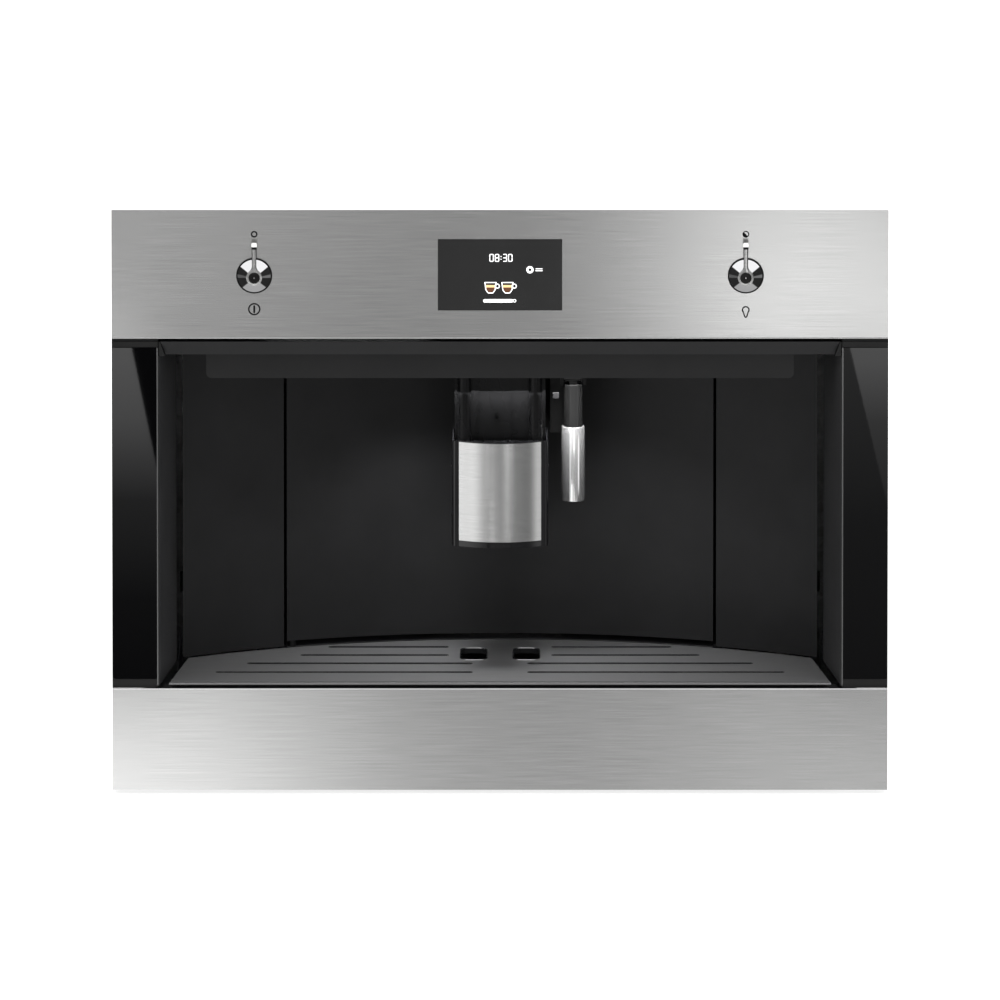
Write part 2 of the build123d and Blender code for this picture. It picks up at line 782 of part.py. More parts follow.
with BuildPart() as bean_lid:
    with BuildSketch(top_plane.offset(lid_side_gap)):
        with Locations((grinder_x, lid_place)):
            RectangleRounded(lid_width, lid_length, lid_corner)
    extrude(amount=lid_thickness)
    tongue_width = 2 * ear_offset - lid_ear_width - 2 * lid_side_gap
    with BuildSketch(top_plane.offset(lid_side_gap)):
        with Locations((grinder_x, lid_hinge_place - lid_ear_radius)):
            Rectangle(tongue_width, 2 * lid_ear_radius)
    extrude(amount=lid_thickness)
    with BuildSketch(Plane(lid_hinge_point, x_dir=(0, 1, 0), z_dir=(1, 0, 0))):
        Circle(lid_rod_radius)
    extrude(amount=lid_rod_length / 2, both=True)
    with BuildSketch(Plane(lid_hinge_point, x_dir=(0, 1, 0), z_dir=(1, 0, 0))):
        Circle(lid_ear_radius - lid_side_gap)
    extrude(amount=tongue_width / 2, both=True)
    with BuildSketch(top_plane.offset(lid_side_gap + lid_thickness)):
        with Locations((grinder_x, lid_place - lid_length / 2 + pull_depth)):
            RectangleRounded(pull_width, pull_depth, pull_corner)
    extrude(amount=-lid_thickness / 2, mode=Mode.SUBTRACT)
bean_lid.part.label = "bean_lid"
export_step(bean_lid.part, "parts/bean_lid.step")

with BuildPart() as grind_dial:
    with BuildSketch(top_plane.offset(lid_side_gap)):
        with Locations((dial_x, lid_place)):
            Circle(dial_radius)
    extrude(amount=dial_height)
    with BuildSketch(top_plane.offset(lid_side_gap + dial_height)):
        with Locations((dial_x, lid_place)):
            Rectangle(2 * dial_radius - dial_grip_width, dial_grip_width)
    extrude(amount=dial_grip_height)
    with BuildSketch(top_plane.offset(lid_side_gap)):
        with Locations((dial_x, lid_place)):
            Circle(dial_shaft_radius)
    extrude(amount=-dial_shaft_length)
grind_dial.part.label = "grind_dial"
export_step(grind_dial.part, "parts/grind_dial.step")

# ================================================================ front
frame_half = front_half - frame_margin
window_half = display_width / 2 + display_module_margin + fit_gap
window_height = display_height / 2 + display_module_margin + fit_gap

with BuildPart() as front_frame:
    block(
        -frame_half,
        frame_half,
        fascia_sheet,
        fascia_sheet + frame_sheet,
        upper_fascia_bottom + frame_margin,
        front_top - frame_margin,
    )
    block(
        -window_half,
        window_half,
        fascia_sheet,
        fascia_sheet + frame_sheet,
        display_middle - window_height,
        display_middle + window_height,
        Mode.SUBTRACT,
    )
    for side in (-1, 1):
        depth_rod(
            side * lever_offset,
            lever_middle,
            lever_shaft_radius + shaft_hole_play,
            fascia_sheet,
            fascia_sheet + frame_sheet,
            Mode.SUBTRACT,
        )
    frame_back = fascia_sheet + frame_sheet
    flange_outer = casing_half - casing_sheet - fit_gap
    flange_back = glass_thickness + frame_sheet + frame_flange_depth
    pair(
        frame_upright_inner,
        frame_half,
        glass_thickness,
        glass_thickness + frame_sheet,
        niche_bottom,
        upper_fascia_bottom + frame_tongue,
    )
    pair(
        flange_outer - frame_flange,
        flange_outer,
        glass_thickness,
        flange_back,
        niche_bottom,
        cover_height(flange_back) - casing_sheet - fit_gap,
    )
    block(
        -casing_half,
        casing_half,
        frame_back,
        flange_back,
        top_front_height,
        top_front_height + frame_flange,
    )
front_frame.part.label = "front_frame"
export_step(front_frame.part, "parts/front_frame.step")


def folded_fascia(z0, z1):
    """Steel front sheet with its four edges folded back."""
    block(-front_half, front_half, 0, fascia_return, z0, z1)
    block(
        -front_half + fascia_sheet,
        front_half - fascia_sheet,
        fascia_sheet,
        fascia_return,
        z0 + fascia_sheet,
        z1 - fascia_sheet,
        Mode.SUBTRACT,
    )


with BuildPart() as control_fascia:
    folded_fascia(upper_fascia_bottom, front_top)
    front_edges = control_fascia.edges().filter_by(Axis.X).group_by(Axis.Y)[0]
    chamfer(front_edges.sort_by(Axis.Z)[0], fascia_bevel)
    block(
        -display_width / 2 - fit_gap,
        display_width / 2 + fit_gap,
        0,
        fascia_sheet,
        display_middle - display_height / 2 - fit_gap,
        display_middle + display_height / 2 + fit_gap,
        Mode.SUBTRACT,
    )
    for side in (-1, 1):
        depth_rod(
            side * lever_offset,
            lever_middle,
            lever_shaft_radius + shaft_hole_play,
            0,
            fascia_sheet,
            Mode.SUBTRACT,
        )
    pair(
        frame_upright_inner - fit_gap,
        frame_half + fit_gap,
        glass_thickness - fit_gap,
        fascia_return,
        upper_fascia_bottom,
        upper_fascia_bottom + fascia_sheet,
        Mode.SUBTRACT,
    )
control_fascia.part.label = "control_fascia"
export_step(control_fascia.part, "parts/control_fascia.step")


def side_glass(side):
    """Black glass strip beside the niche."""
    x0, x1 = sorted((side * (niche_half + trim_width), side * front_half))
    with BuildPart() as strip:
        block(x0, x1, 0, glass_thickness, glass_bottom, glass_top)
    return strip


side_glass_left = side_glass(-1)
side_glass_left.part.label = "side_glass_left"
export_step(side_glass_left.part, "parts/side_glass_left.step")

side_glass_right = side_glass(1)
side_glass_right.part.label = "side_glass_right"
export_step(side_glass_right.part, "parts/side_glass_right.step")

with BuildPart() as niche_trims:
    pair(niche_half, niche_half + trim_width, 0, trim_depth, trim_bottom, glass_top)
niche_trims.part.label = "niche_trims"
export_step(niche_trims.part, "parts/niche_trims.step")

with BuildPart() as corner_blocks:
    pair(niche_half, front_half, fascia_bevel / 2, glass_thickness, block_bottom, niche_top)
    pair(
        niche_half + trim_width,
        front_half,
        fascia_bevel / 2,
        glass_thickness,
        trim_bottom,
        foot_block_top,
    )
    tab_top = upper_fascia_bottom - fit_gap
    tab_foot = lower_fascia_top + fit_gap
    pair(niche_half, front_half, block_tab_depth, glass_thickness, niche_top, tab_top)
    pair(niche_half + trim_width, front_half, block_tab_depth, glass_thickness, tab_foot, trim_bottom)
    for side in (-1, 1):
        with BuildSketch(facing(wall_set_back)):
            with BuildLine():
                Polyline(
                    (side * (lip_half_top + lip_corner_gap), niche_top - fit_gap),
                    (side * wall_front_half, niche_top - fit_gap),
                    (side * wall_front_half, lip_bottom - fit_gap),
                    (side * (lip_half_bottom + lip_corner_gap), lip_bottom - fit_gap),
                    close=True,
                )
            make_face()
        extrude(amount=wall_set_back - lip_depth)
corner_blocks.part.label = "corner_blocks"
export_step(corner_blocks.part, "parts/corner_blocks.step")

with BuildPart() as niche_lip:
    with BuildSketch(facing(fascia_bevel / 2)):
        with BuildLine():
            Polyline(
                (-lip_half_bottom, lip_bottom),
                (lip_half_bottom, lip_bottom),
                (lip_half_top, niche_top),
                (-lip_half_top, niche_top),
                close=True,
            )
        make_face()
    extrude(amount=fascia_bevel / 2 - lip_depth)
    with BuildSketch(crossing(-front_half)):
        with BuildLine():
            Polyline(
                (fascia_bevel / 2, niche_top),
                (fascia_bevel / 2 + lip_slant, lip_bottom),
                (lip_depth, lip_bottom),
                (lip_depth, niche_top),
                close=True,
            )
        make_face()
    extrude(amount=front_width, mode=Mode.INTERSECT)
niche_lip.part.label = "niche_lip"
export_step(niche_lip.part, "parts/niche_lip.step")


def niche_wall(side):
    """Tapering side wall of the niche with a straight tail behind the rear panel."""
    wall_back_depth = wall_depth(wall_back_half) - fit_gap
    tail_end = wall_back_depth + wall_return
    outline = [
        (wall_front_half, wall_set_back),
        (wall_back_half, wall_back_depth),
        (wall_back_half, tail_end),
        (wall_back_half + wall_sheet, tail_end),
        (wall_back_half + wall_sheet, wall_back_depth),
        (wall_front_half + wall_sheet, wall_set_back + trim_depth),
        (wall_front_half + fit_gap, wall_set_back + trim_depth),
        (wall_front_half + fit_gap, wall_set_back),
    ]
    with BuildPart() as wall:
        with BuildSketch(level(niche_bottom)):
            with BuildLine():
                Polyline(*[(side * x, y) for x, y in outline], close=True)
            make_face()
        extrude(amount=ceiling_bottom - niche_bottom)
        side_x = sorted((side * lip_half_bottom / 2, side * front_width))
        notch_bottom = lip_bottom - 2 * fit_gap
        block(side_x[0], side_x[1], 0, lip_depth + fit_gap, notch_bottom, niche_top, Mode.SUBTRACT)
    return wall


niche_wall_left = niche_wall(-1)
niche_wall_left.part.label = "niche_wall_left"
export_step(niche_wall_left.part, "parts/niche_wall_left.step")

niche_wall_right = niche_wall(1)
niche_wall_right.part.label = "niche_wall_right"
export_step(niche_wall_right.part, "parts/niche_wall_right.step")


def rear_panel(side):
    """Fixed part of the curved rear wall, between the service door and the side wall."""
    x0, x1 = sorted((side * (door_half + seam_gap), side * rear_panel_end))
    with BuildPart() as panel:
        curved_panel(
            x0,
            x1,
            wall_radius,
            wall_radius + rear_panel_sheet,
            niche_bottom + rear_panel_foot,
            ceiling_bottom,
        )
    return panel


rear_panel_left = rear_panel(-1)
rear_panel_left.part.label = "rear_panel_left"
export_step(rear_panel_left.part, "parts/rear_panel_left.step")

rear_panel_right = rear_panel(1)
rear_panel_right.part.label = "rear_panel_right"
export_step(rear_panel_right.part, "parts/rear_panel_right.step")

with BuildPart() as niche_ceiling:
    niche_plan(
        lip_depth,
        wall_front_half + ceiling_overhang,
        wall_back_half + ceiling_overhang,
        -door_thickness,
        ceiling_bottom,
        niche_top,
    )
niche_ceiling.part.label = "niche_ceiling"
export_step(niche_ceiling.part, "parts/niche_ceiling.step")


def soffit_slab(inset, z0, z1, mode):
    """The light box's plan, drawn in by inset, as a slab."""
    with BuildSketch(level(z0), mode=Mode.PRIVATE) as outline:
        with Locations((0, arc_centre)):
            Circle(wall_radius - inset)
        with Locations((0, lip_depth + inset + niche_depth / 2)):
            Rectangle(2 * (soffit_half - inset), niche_depth, mode=Mode.INTERSECT)
    extrude(outline.sketch, amount=z1 - z0, mode=mode)


def lamp_openings(gap, z0, z1, mode):
    """Two oblong lamp windows near the light box's front, drawn in by gap."""
    with BuildSketch(level(z0), mode=Mode.PRIVATE) as outline:
        with Locations((-lamp_spacing / 2, lamp_depth), (lamp_spacing / 2, lamp_depth)):
            RectangleRounded(
                2 * (lamp_half_length - gap),
                2 * (lamp_half_width - gap),
                lamp_corner,
            )
    extrude(outline.sketch, amount=z1 - z0, mode=mode)


with BuildPart() as soffit:
    soffit_slab(0, soffit_bottom, ceiling_bottom, Mode.ADD)
    lower_corners = soffit.edges().filter_by(Axis.Y).group_by(Axis.Z)[0]
    fillet(lower_corners, soffit_corner)
    soffit_slab(soffit_wall, soffit_bottom + soffit_wall + soffit_corner, ceiling_bottom, Mode.SUBTRACT)
    lamp_openings(0, soffit_bottom, soffit_bottom + soffit_wall + soffit_corner, Mode.SUBTRACT)
    curved_panel(
        -door_half - seam_gap,
        door_half + seam_gap,
        wall_radius,
        wall_radius + door_thickness,
        soffit_bottom,
        ceiling_bottom,
    )
soffit.part.label = "soffit"
export_step(soffit.part, "parts/soffit.step")

with BuildPart() as lamp_lenses:
    lamp_openings(fit_gap, soffit_bottom + fit_gap, soffit_bottom + fit_gap + lamp_thickness, Mode.ADD)
lamp_lenses.part.label = "lamp_lenses"
export_step(lamp_lenses.part, "parts/lamp_lenses.step")

# ================================================================ display and levers
with BuildPart() as display_glass:
    block(
        -display_width / 2,
        display_width / 2,
        -display_proud,
        display_glass_sheet - display_proud,
        display_middle - display_height / 2,
        display_middle + display_height / 2,
    )
    fillet(display_glass.edges().filter_by(Axis.Y), fascia_sheet)
display_glass.part.label = "display_glass"
export_step(display_glass.part, "parts/display_glass.step")

with BuildPart() as display_module:
    block(
        -display_width / 2 - display_module_margin,
        display_width / 2 + display_module_margin,
        display_glass_sheet - display_proud,
        display_glass_sheet - display_proud + display_module_depth,
        display_middle - display_height / 2 - display_module_margin,
        display_middle + display_height / 2 + display_module_margin,
    )
display_module.part.label = "display_module"
export_step(display_module.part, "parts/display_module.step")

with BuildPart() as lever_collars:
    for side in (-1, 1):
        collar_centre = (side * lever_offset, front_face, lever_middle)
        with BuildSketch(Plane(origin=collar_centre, x_dir=(1, 0, 0), z_dir=(0, 0, 1))):
            with BuildLine():
                Polyline(
                    (collar_bore_radius, 0),
                    (collar_rim_radius, 0),
                    (collar_rim_radius, -collar_rim_height),
                    (collar_rim_radius - collar_rim_width, -collar_rim_height),
                    (collar_bore_radius + collar_crown_width, -collar_proud),
                    (collar_bore_radius, -collar_proud),
                    close=True,
                )
            make_face()
        revolve(axis=Axis(collar_centre, (0, 1, 0)))
lever_collars.part.label = "lever_collars"
export_step(lever_collars.part, "parts/lever_collars.step")

with BuildPart() as rotary_switches:
    switch_front = fascia_sheet + frame_sheet
    for side in (-1, 1):
        block(
            side * lever_offset - switch_size / 2,
            side * lever_offset + switch_size / 2,
            switch_front,
            switch_front + switch_depth,
            lever_middle - switch_size / 2,
            lever_middle + switch_size / 2,
        )
        depth_rod(
            side * lever_offset,
            lever_middle,
            lever_shaft_radius + shaft_play,
            switch_front,
            lever_shaft_end + shaft_hole_play,
            Mode.SUBTRACT,
        )
rotary_switches.part.label = "rotary_switches"
export_step(rotary_switches.part, "parts/rotary_switches.step")


def front_lever(side):
    """Keyhole-shaped lever plate on a hub and shaft, pointing up."""
    x = side * lever_offset
    plate_back = -lever_plate_front + lever_plate_thickness
    with BuildPart() as lever:
        depth_rod(x, lever_middle, lever_ring_radius, -lever_plate_front, plate_back)
        block(
            x - lever_arm_width / 2,
            x + lever_arm_width / 2,
            -lever_plate_front,
            plate_back,
            lever_middle,
            lever_middle + lever_reach - lever_tip_height,
        )
        block(
            x - lever_tip_width / 2,
            x + lever_tip_width / 2,
            -lever_plate_front + lever_tip_thickness,
            plate_back,
            lever_middle + lever_reach - lever_tip_height - lever_arm_width,
            lever_middle + lever_reach,
        )
        depth_rod(x, lever_middle, lever_hub_radius, plate_back, -shaft_hole_play / 2)
        depth_rod(x, lever_middle, lever_shaft_radius, -shaft_hole_play / 2, lever_shaft_end)
        depth_rod(
            x,
            lever_middle,
            lever_cap_radius + lever_cap_gap,
            -lever_plate_front,
            -lever_plate_front + lever_cap_depth,
            Mode.SUBTRACT,
        )
    return lever


def lever_cap(side):
    """Dark cap in the lever's ring and the light block on its tip."""
    x = side * lever_offset
    with BuildPart() as cap:
        depth_rod(
            x,
            lever_middle,
            lever_cap_radius,
            -lever_plate_front - lever_cap_proud,
            -lever_plate_front + lever_cap_depth,
        )
        block(
            x - lever_tip_width / 2,
            x + lever_tip_width / 2,
            -lever_plate_front,
            -lever_plate_front + lever_tip_thickness,
            lever_middle + lever_reach - lever_tip_height,
            lever_middle + lever_reach,
        )
    return cap


power_lever = front_lever(-1)
power_lever.part.label = "power_lever"
export_step(power_lever.part, "parts/power_lever.step")

power_lever_cap = lever_cap(-1)
power_lever_cap.part.label = "power_lever_cap"
export_step(power_lever_cap.part, "parts/power_lever_cap.step")

light_lever = front_lever(1)
light_lever.part.label = "light_lever"
export_step(light_lever.part, "parts/light_lever.step")

light_lever_cap = lever_cap(1)
light_lever_cap.part.label = "light_lever_cap"
export_step(light_lever_cap.part, "parts/light_lever_cap.step")

# ================================================================ service door
hinge_bore_depth = hinge_pin_length + hinge_bore_extra

with BuildPart() as service_door:
    curved_panel(
        -door_half,
        door_half,
        wall_radius,
        wall_radius + door_thickness,
        door_bottom,
        door_top,
    )
    upright_rod(
        hinge_x,
        hinge_y,
        hinge_pin_radius + shaft_play,
        door_bottom,
        door_bottom + hinge_bore_depth,
        Mode.SUBTRACT,
    )
    upright_rod(
        hinge_x,
        hinge_y,
        hinge_pin_radius + shaft_play,
        door_top - hinge_bore_depth,
        door_top,
        Mode.SUBTRACT,
    )
service_door.part.label = "service_door"
export_step(service_door.part, "parts/service_door.step")

with BuildPart() as door_hinge_pins:
    upright_rod(hinge_x, hinge_y, hinge_collar_radius, bay_floor_top, door_bottom - hinge_end_gap)
    upright_rod(hinge_x, hinge_y, hinge_pin_radius, bay_floor_top, door_bottom + hinge_pin_length)
    upright_rod(hinge_x, hinge_y, hinge_collar_radius, door_top + hinge_end_gap, soffit_bottom)
    upright_rod(hinge_x, hinge_y, hinge_pin_radius, door_top - hinge_pin_length, soffit_bottom)
door_hinge_pins.part.label = "door_hinge_pins"
export_step(door_hinge_pins.part, "parts/door_hinge_pins.step")

# ================================================================ coffee spout
column_outer = carrier_half - column_side
column_inner = column_outer - column_width
channel_floor = carrier_front + channel_depth

with BuildPart() as spout_carrier:
    with BuildSketch(level(carrier_bottom)):
        with Locations((0, (channel_floor + carrier_back) / 2)):
            Rectangle(2 * carrier_half, carrier_back - channel_floor)
        for side in (-1, 1):
            middle = side * (column_outer + column_inner) / 2
            with Locations((middle, carrier_front + column_width / 2)):
                Circle(column_width / 2)
            with Locations((middle, (carrier_front + column_width / 2 + channel_floor) / 2)):
                Rectangle(column_width, channel_floor - carrier_front - column_width / 2 + column_side)
    extrude(amount=door_top - carrier_bottom)
    block(
        channel_plate_shift - channel_plate_half,
        channel_plate_shift + channel_plate_half,
        channel_floor - channel_plate_proud,
        channel_floor,
        carrier_bottom,
        door_top,
    )
    depth_rod(
        channel_plate_shift + carrier_ring_radius / 2,
        carrier_ring_height,
        carrier_ring_radius,
        channel_floor - 2 * channel_plate_proud,
        channel_floor,
    )
    depth_rod(
        channel_plate_shift + carrier_ring_radius / 2,
        carrier_ring_height,
        carrier_ring_bore,
        channel_floor - 2 * channel_plate_proud,
        channel_floor - channel_plate_proud / 2,
        Mode.SUBTRACT,
    )
    block(-spine_half, spine_half, carrier_back, wall_depth(spine_half), carrier_bottom, door_top)
spout_carrier.part.label = "spout_carrier"
export_step(spout_carrier.part, "parts/spout_carrier.step")

with BuildPart() as spout_head:
    head_middle = (head_front + head_back) / 2
    with BuildSketch(level(head_bottom)):
        with Locations((0, head_middle)):
            RectangleRounded(2 * head_half, head_back - head_front, head_corner)
    extrude(amount=head_top - head_bottom)
    with BuildSketch(level(head_bottom)):
        with Locations((0, plate_centre)):
            Circle(plate_radius)
        with Locations((0, head_front - plate_bulge / 2)):
            Rectangle(2 * plate_half, plate_bulge + 2 * head_wall, mode=Mode.INTERSECT)
    extrude(amount=head_top - head_bottom)
    with BuildSketch(level(plate_bottom)):
        with Locations((0, plate_centre)):
            Circle(plate_radius + plate_sheet)
            Circle(plate_radius - plate_sheet, mode=Mode.SUBTRACT)
        with Locations((0, head_front - plate_bulge / 2)):
            Rectangle(2 * plate_half, plate_bulge, mode=Mode.INTERSECT)
    extrude(amount=plate_top - plate_bottom, mode=Mode.SUBTRACT)
    block(
        -carrier_half - head_play,
        carrier_half + head_play,
        carrier_front - head_play,
        carrier_back + head_play,
        head_bottom + head_floor,
        head_top,
        Mode.SUBTRACT,
    )
    block(
        -spine_half - head_play,
        spine_half + head_play,
        carrier_back,
        head_back,
        head_bottom + head_back_rim,
        head_top,
        Mode.SUBTRACT,
    )
    pair(
        head_half,
        head_half + side_rail_proud,
        head_front + head_corner,
        head_back - head_corner,
        head_bottom + head_wall,
        head_bottom + side_rail_height,
    )
    for side in (-1, 1):
        pin_ends = sorted((side * (head_half - head_wall), side * (head_half + side_pin_proud)))
        cross_rod(head_middle, side_pin_height, side_pin_radius, *pin_ends)
    for side in (-1, 1):
        upright_rod(
            side * nozzle_offset,
            nozzle_depth,
            nozzle_radius,
            head_bottom,
            head_bottom + head_floor,
            Mode.SUBTRACT,
        )
spout_head.part.label = "spout_head"
export_step(spout_head.part, "parts/spout_head.step")

with BuildPart() as spout_plate:
    with BuildSketch(level(plate_bottom)):
        with Locations((0, plate_centre)):
            Circle(plate_radius)
            Circle(plate_radius - plate_sheet, mode=Mode.SUBTRACT)
        with Locations((0, head_front - plate_bulge / 2)):
            Rectangle(2 * plate_half, plate_bulge, mode=Mode.INTERSECT)
    extrude(amount=plate_top - plate_bottom)
spout_plate.part.label = "spout_plate"
export_step(spout_plate.part, "parts/spout_plate.step")

with BuildPart() as spout_nozzles:
    for side in (-1, 1):
        nozzle_low = head_bottom - nozzle_proud
        nozzle_high = nozzle_low + nozzle_length
        nozzle_x = side * nozzle_offset
        upright_rod(nozzle_x, nozzle_depth, nozzle_radius, nozzle_low, nozzle_high)
        upright_rod(nozzle_x, nozzle_depth, nozzle_bore, nozzle_low, nozzle_high, Mode.SUBTRACT)
spout_nozzles.part.label = "spout_nozzles"
export_step(spout_nozzles.part, "parts/spout_nozzles.step")

# ================================================================ steam wand
ear_inner = lug_half + ear_gap
ear_outer = ear_inner + ear_thickness

with BuildPart() as wand_bracket:
    deck_back = wall_depth(wand_x + ear_outer)
    bracket_deck = wand_pivot_height + deck_rise
    ear_front = wand_depth - ear_reach
    plate_face = wand_depth + bracket_plate_back
    plate_left = wand_x - bracket_plate_reach
    plate_right = plate_left + bracket_plate_width
    block(wand_x - ear_outer, wand_x + ear_outer, ear_front, deck_back, bracket_deck, door_top)
    for side in (-1, 1):
        x0, x1 = sorted((wand_x + side * ear_inner, wand_x + side * ear_outer))
        block(x0, x1, ear_front, plate_face, wand_pivot_height - ear_drop, bracket_deck)
    cross_rod(
        wand_depth,
        wand_pivot_height,
        wand_pin_radius + shaft_play,
        wand_x - ear_outer,
        wand_x + ear_outer,
        Mode.SUBTRACT,
    )
    block(
        plate_left,
        plate_right,
        plate_face,
        wall_depth(plate_right),
        wand_pivot_height - bracket_plate_drop,
        door_top,
    )
    light_middle = (plate_left + wand_x - ear_outer) / 2
    block(
        light_middle - bracket_light_size / 2,
        light_middle + bracket_light_size / 2,
        plate_face - bracket_light_proud,
        plate_face,
        wand_pivot_height - bracket_light_size / 2,
        wand_pivot_height + bracket_light_size / 2,
    )
    block(
        wand_x + ear_outer,
        wand_x + bracket_tab_reach,
        wand_depth - bracket_tab_forward,
        wand_depth + bracket_tab_back,
        wand_pivot_height + bracket_tab_rise,
        door_top,
    )
wand_bracket.part.label = "wand_bracket"
export_step(wand_bracket.part, "parts/wand_bracket.step")

with BuildPart() as wand_grip:
    cross_rod(wand_depth, wand_pivot_height, lug_radius, wand_x - lug_half, wand_x + lug_half)
    cross_rod(wand_depth, wand_pivot_height, wand_pin_radius, wand_x - ear_outer, wand_x + ear_outer)
    block(
        wand_x - lug_radius / 2,
        wand_x + lug_radius / 2,
        wand_depth - lug_radius / 2,
        wand_depth + lug_radius / 2,
        grip_top,
        wand_pivot_height,
    )
    upright_rod(wand_x, wand_depth, grip_radius, grip_bottom, grip_top)
    upright_rod(wand_x, wand_depth, collar_radius, collar_bottom, grip_bottom)
    upright_rod(wand_x, wand_depth, wand_tube_radius, wand_tube_bottom, collar_bottom)
    upright_rod(
        wand_x,
        wand_depth,
        sleeve_radius - sleeve_wall - sleeve_play,
        guide_height,
        guide_height + guide_thickness,
    )
    upright_rod(wand_x, wand_depth, wand_tube_bore, wand_tube_bottom, grip_bottom, Mode.SUBTRACT)
wand_grip.part.label = "wand_grip"
export_step(wand_grip.part, "parts/wand_grip.step")

with BuildPart() as wand_sleeve:
    upright_rod(wand_x, wand_depth, sleeve_radius, sleeve_bottom, sleeve_top)
    sleeve_edges = wand_sleeve.edges().filter_by(GeomType.CIRCLE)
    chamfer(sleeve_edges, sleeve_wall / 2)
    upright_rod(
        wand_x,
        wand_depth,
        sleeve_radius - sleeve_wall,
        sleeve_bottom + sleeve_floor,
        collar_bottom,
        Mode.SUBTRACT,
    )
    upright_rod(
        wand_x,
        wand_depth,
        wand_tube_radius + fit_gap,
        sleeve_bottom,
        sleeve_bottom + sleeve_floor,
        Mode.SUBTRACT,
    )
wand_sleeve.part.label = "wand_sleeve"
export_step(wand_sleeve.part, "parts/wand_sleeve.step")

# ================================================================ drip drawer
with BuildPart() as lower_fascia:
    folded_fascia(front_lift, lower_fascia_top)
    top_edges = lower_fascia.edges().filter_by(Axis.X).group_by(Axis.Y)[0]
    chamfer(top_edges.sort_by(Axis.Z)[-1], fascia_bevel / 2)
lower_fascia.part.label = "lower_fascia"
export_step(lower_fascia.part, "parts/lower_fascia.step")

with BuildPart() as drip_tray:
    tray_step = lower_fascia_top - 2 * fascia_sheet
    niche_plan(fascia_sheet, tray_half, tray_back_half, tray_gap, tray_bottom, tray_step)
    niche_plan(fascia_return, tray_half, tray_back_half, tray_gap, tray_step, tray_top)
    niche_plan(
        fascia_return + tray_wall,
        tray_half - tray_wall,
        tray_back_half - tray_wall,
        tray_gap + tray_wall,
        tray_bottom + tray_floor,
        tray_top,
        Mode.SUBTRACT,
    )
    pair(
        skid_offset - skid_width / 2,
        skid_offset + skid_width / 2,
        casing_front,
        niche_depth / 2,
        floor_top + skid_gap,
        tray_bottom,
    )
drip_tray.part.label = "drip_tray"
export_step(drip_tray.part, "parts/drip_tray.step")

with BuildPart() as tray_cover:
    cover_top = cover_bottom + cover_sheet
    niche_plan(
        cover_set_back,
        cover_front_half,
        cover_back_half,
        cover_gap,
        cover_bottom,
        cover_top,
    )
    crease_front = cover_set_back + cover_lip
    block(
        -front_half,
        front_half,
        crease_front,
        crease_front + cover_crease_width,
        cover_top - cover_crease,
        cover_top,
        Mode.SUBTRACT,
    )
    for row, inner, share in zip(slot_rows, slot_inner_ends, slot_reaches):
        outer = share * cover_front_half
        depth = row * niche_depth
        with BuildSketch(level(cover_top)):
            with Locations(((inner + outer) / 2, depth), (-(inner + outer) / 2, depth)):
                SlotOverall(outer - inner, slot_width)
        extrude(amount=-cover_sheet, mode=Mode.SUBTRACT)
    finger_length = finger_share * niche_depth
    finger_middle = finger_row * niche_depth + finger_length / 2
    with BuildSketch(level(cover_top)):
        for side in (-1, 1):
            with Locations((side * (finger_inner + finger_width / 2), finger_middle)):
                RectangleRounded(finger_width, finger_length, finger_corner)
    extrude(amount=-cover_sheet, mode=Mode.SUBTRACT)
tray_cover.part.label = "tray_cover"
export_step(tray_cover.part, "parts/tray_cover.step")

# ================================================================ behind the door
with BuildPart() as service_bay:
    curved_sill = wall_radius + fit_gap
    block(-bay_outer, bay_outer, bay_wall_front, bay_rear, bay_floor_bottom, bay_floor_top)
    curved_panel(
        -door_half,
        door_half,
        curved_sill,
        curved_sill + sill_reach,
        bay_floor_bottom,
        bay_floor_top,
    )
    with BuildSketch(level(bay_floor_bottom)):
        with Locations((0, arc_centre)):
            Circle(curved_sill)
    extrude(amount=bay_floor, mode=Mode.SUBTRACT)
    pair(bay_half, bay_outer, bay_wall_front, bay_rear, bay_floor_top, bay_top)
    block(-bay_half, bay_half, bay_rear - bay_wall, bay_rear, bay_floor_top, bay_top)
    pair(
        partition_offset - bay_wall / 2,
        partition_offset + bay_wall / 2,
        tank_front,
        bay_rear - bay_wall,
        bay_floor_top,
        bay_floor_top + partition_height,
    )
    bay_ears_top = bay_floor_bottom + pull_drop
    pair(bay_half, lower_half, bay_rear - bay_wall, bay_rear, bay_floor_bottom, bay_ears_top)
service_bay.part.label = "service_bay"
export_step(service_bay.part, "parts/service_bay.step")


def open_box(x0, x1, y0, y1, z0, z1, wall):
    """A box without a top."""
    block(x0, x1, y0, y1, z0, z1)
    block(x0 + wall, x1 - wall, y0 + wall, y1 - wall, z0 + wall, z1, Mode.SUBTRACT)


tank_inner = partition_offset + bay_wall / 2 + tank_inner_gap
tank_outer = bay_half - tank_inner_gap

with BuildPart() as water_tank:
    open_box(-tank_outer, -tank_inner, tank_front, tank_rear, bay_floor_top, tank_top, tank_wall)
    tank_middle = -(tank_inner + tank_outer) / 2
    block(
        tank_middle - pull_width / 2,
        tank_middle + pull_width / 2,
        tank_front - pull_depth,
        tank_front,
        tank_top - pull_thickness,
        tank_top,
    )
water_tank.part.label = "water_tank"
export_step(water_tank.part, "parts/water_tank.step")

with BuildPart() as water_tank_lid:
    lid_inset = tank_wall + fit_gap
    block(-tank_outer, -tank_inner, tank_front, tank_rear, tank_top, tank_top + tank_lid_flange)
    block(
        -tank_outer + lid_inset,
        -tank_inner - lid_inset,
        tank_front + lid_inset,
        tank_rear - lid_inset,
        tank_top + tank_lid_flange - tank_lid_thickness,
        tank_top,
    )
water_tank_lid.part.label = "water_tank_lid"
export_step(water_tank_lid.part, "parts/water_tank_lid.step")

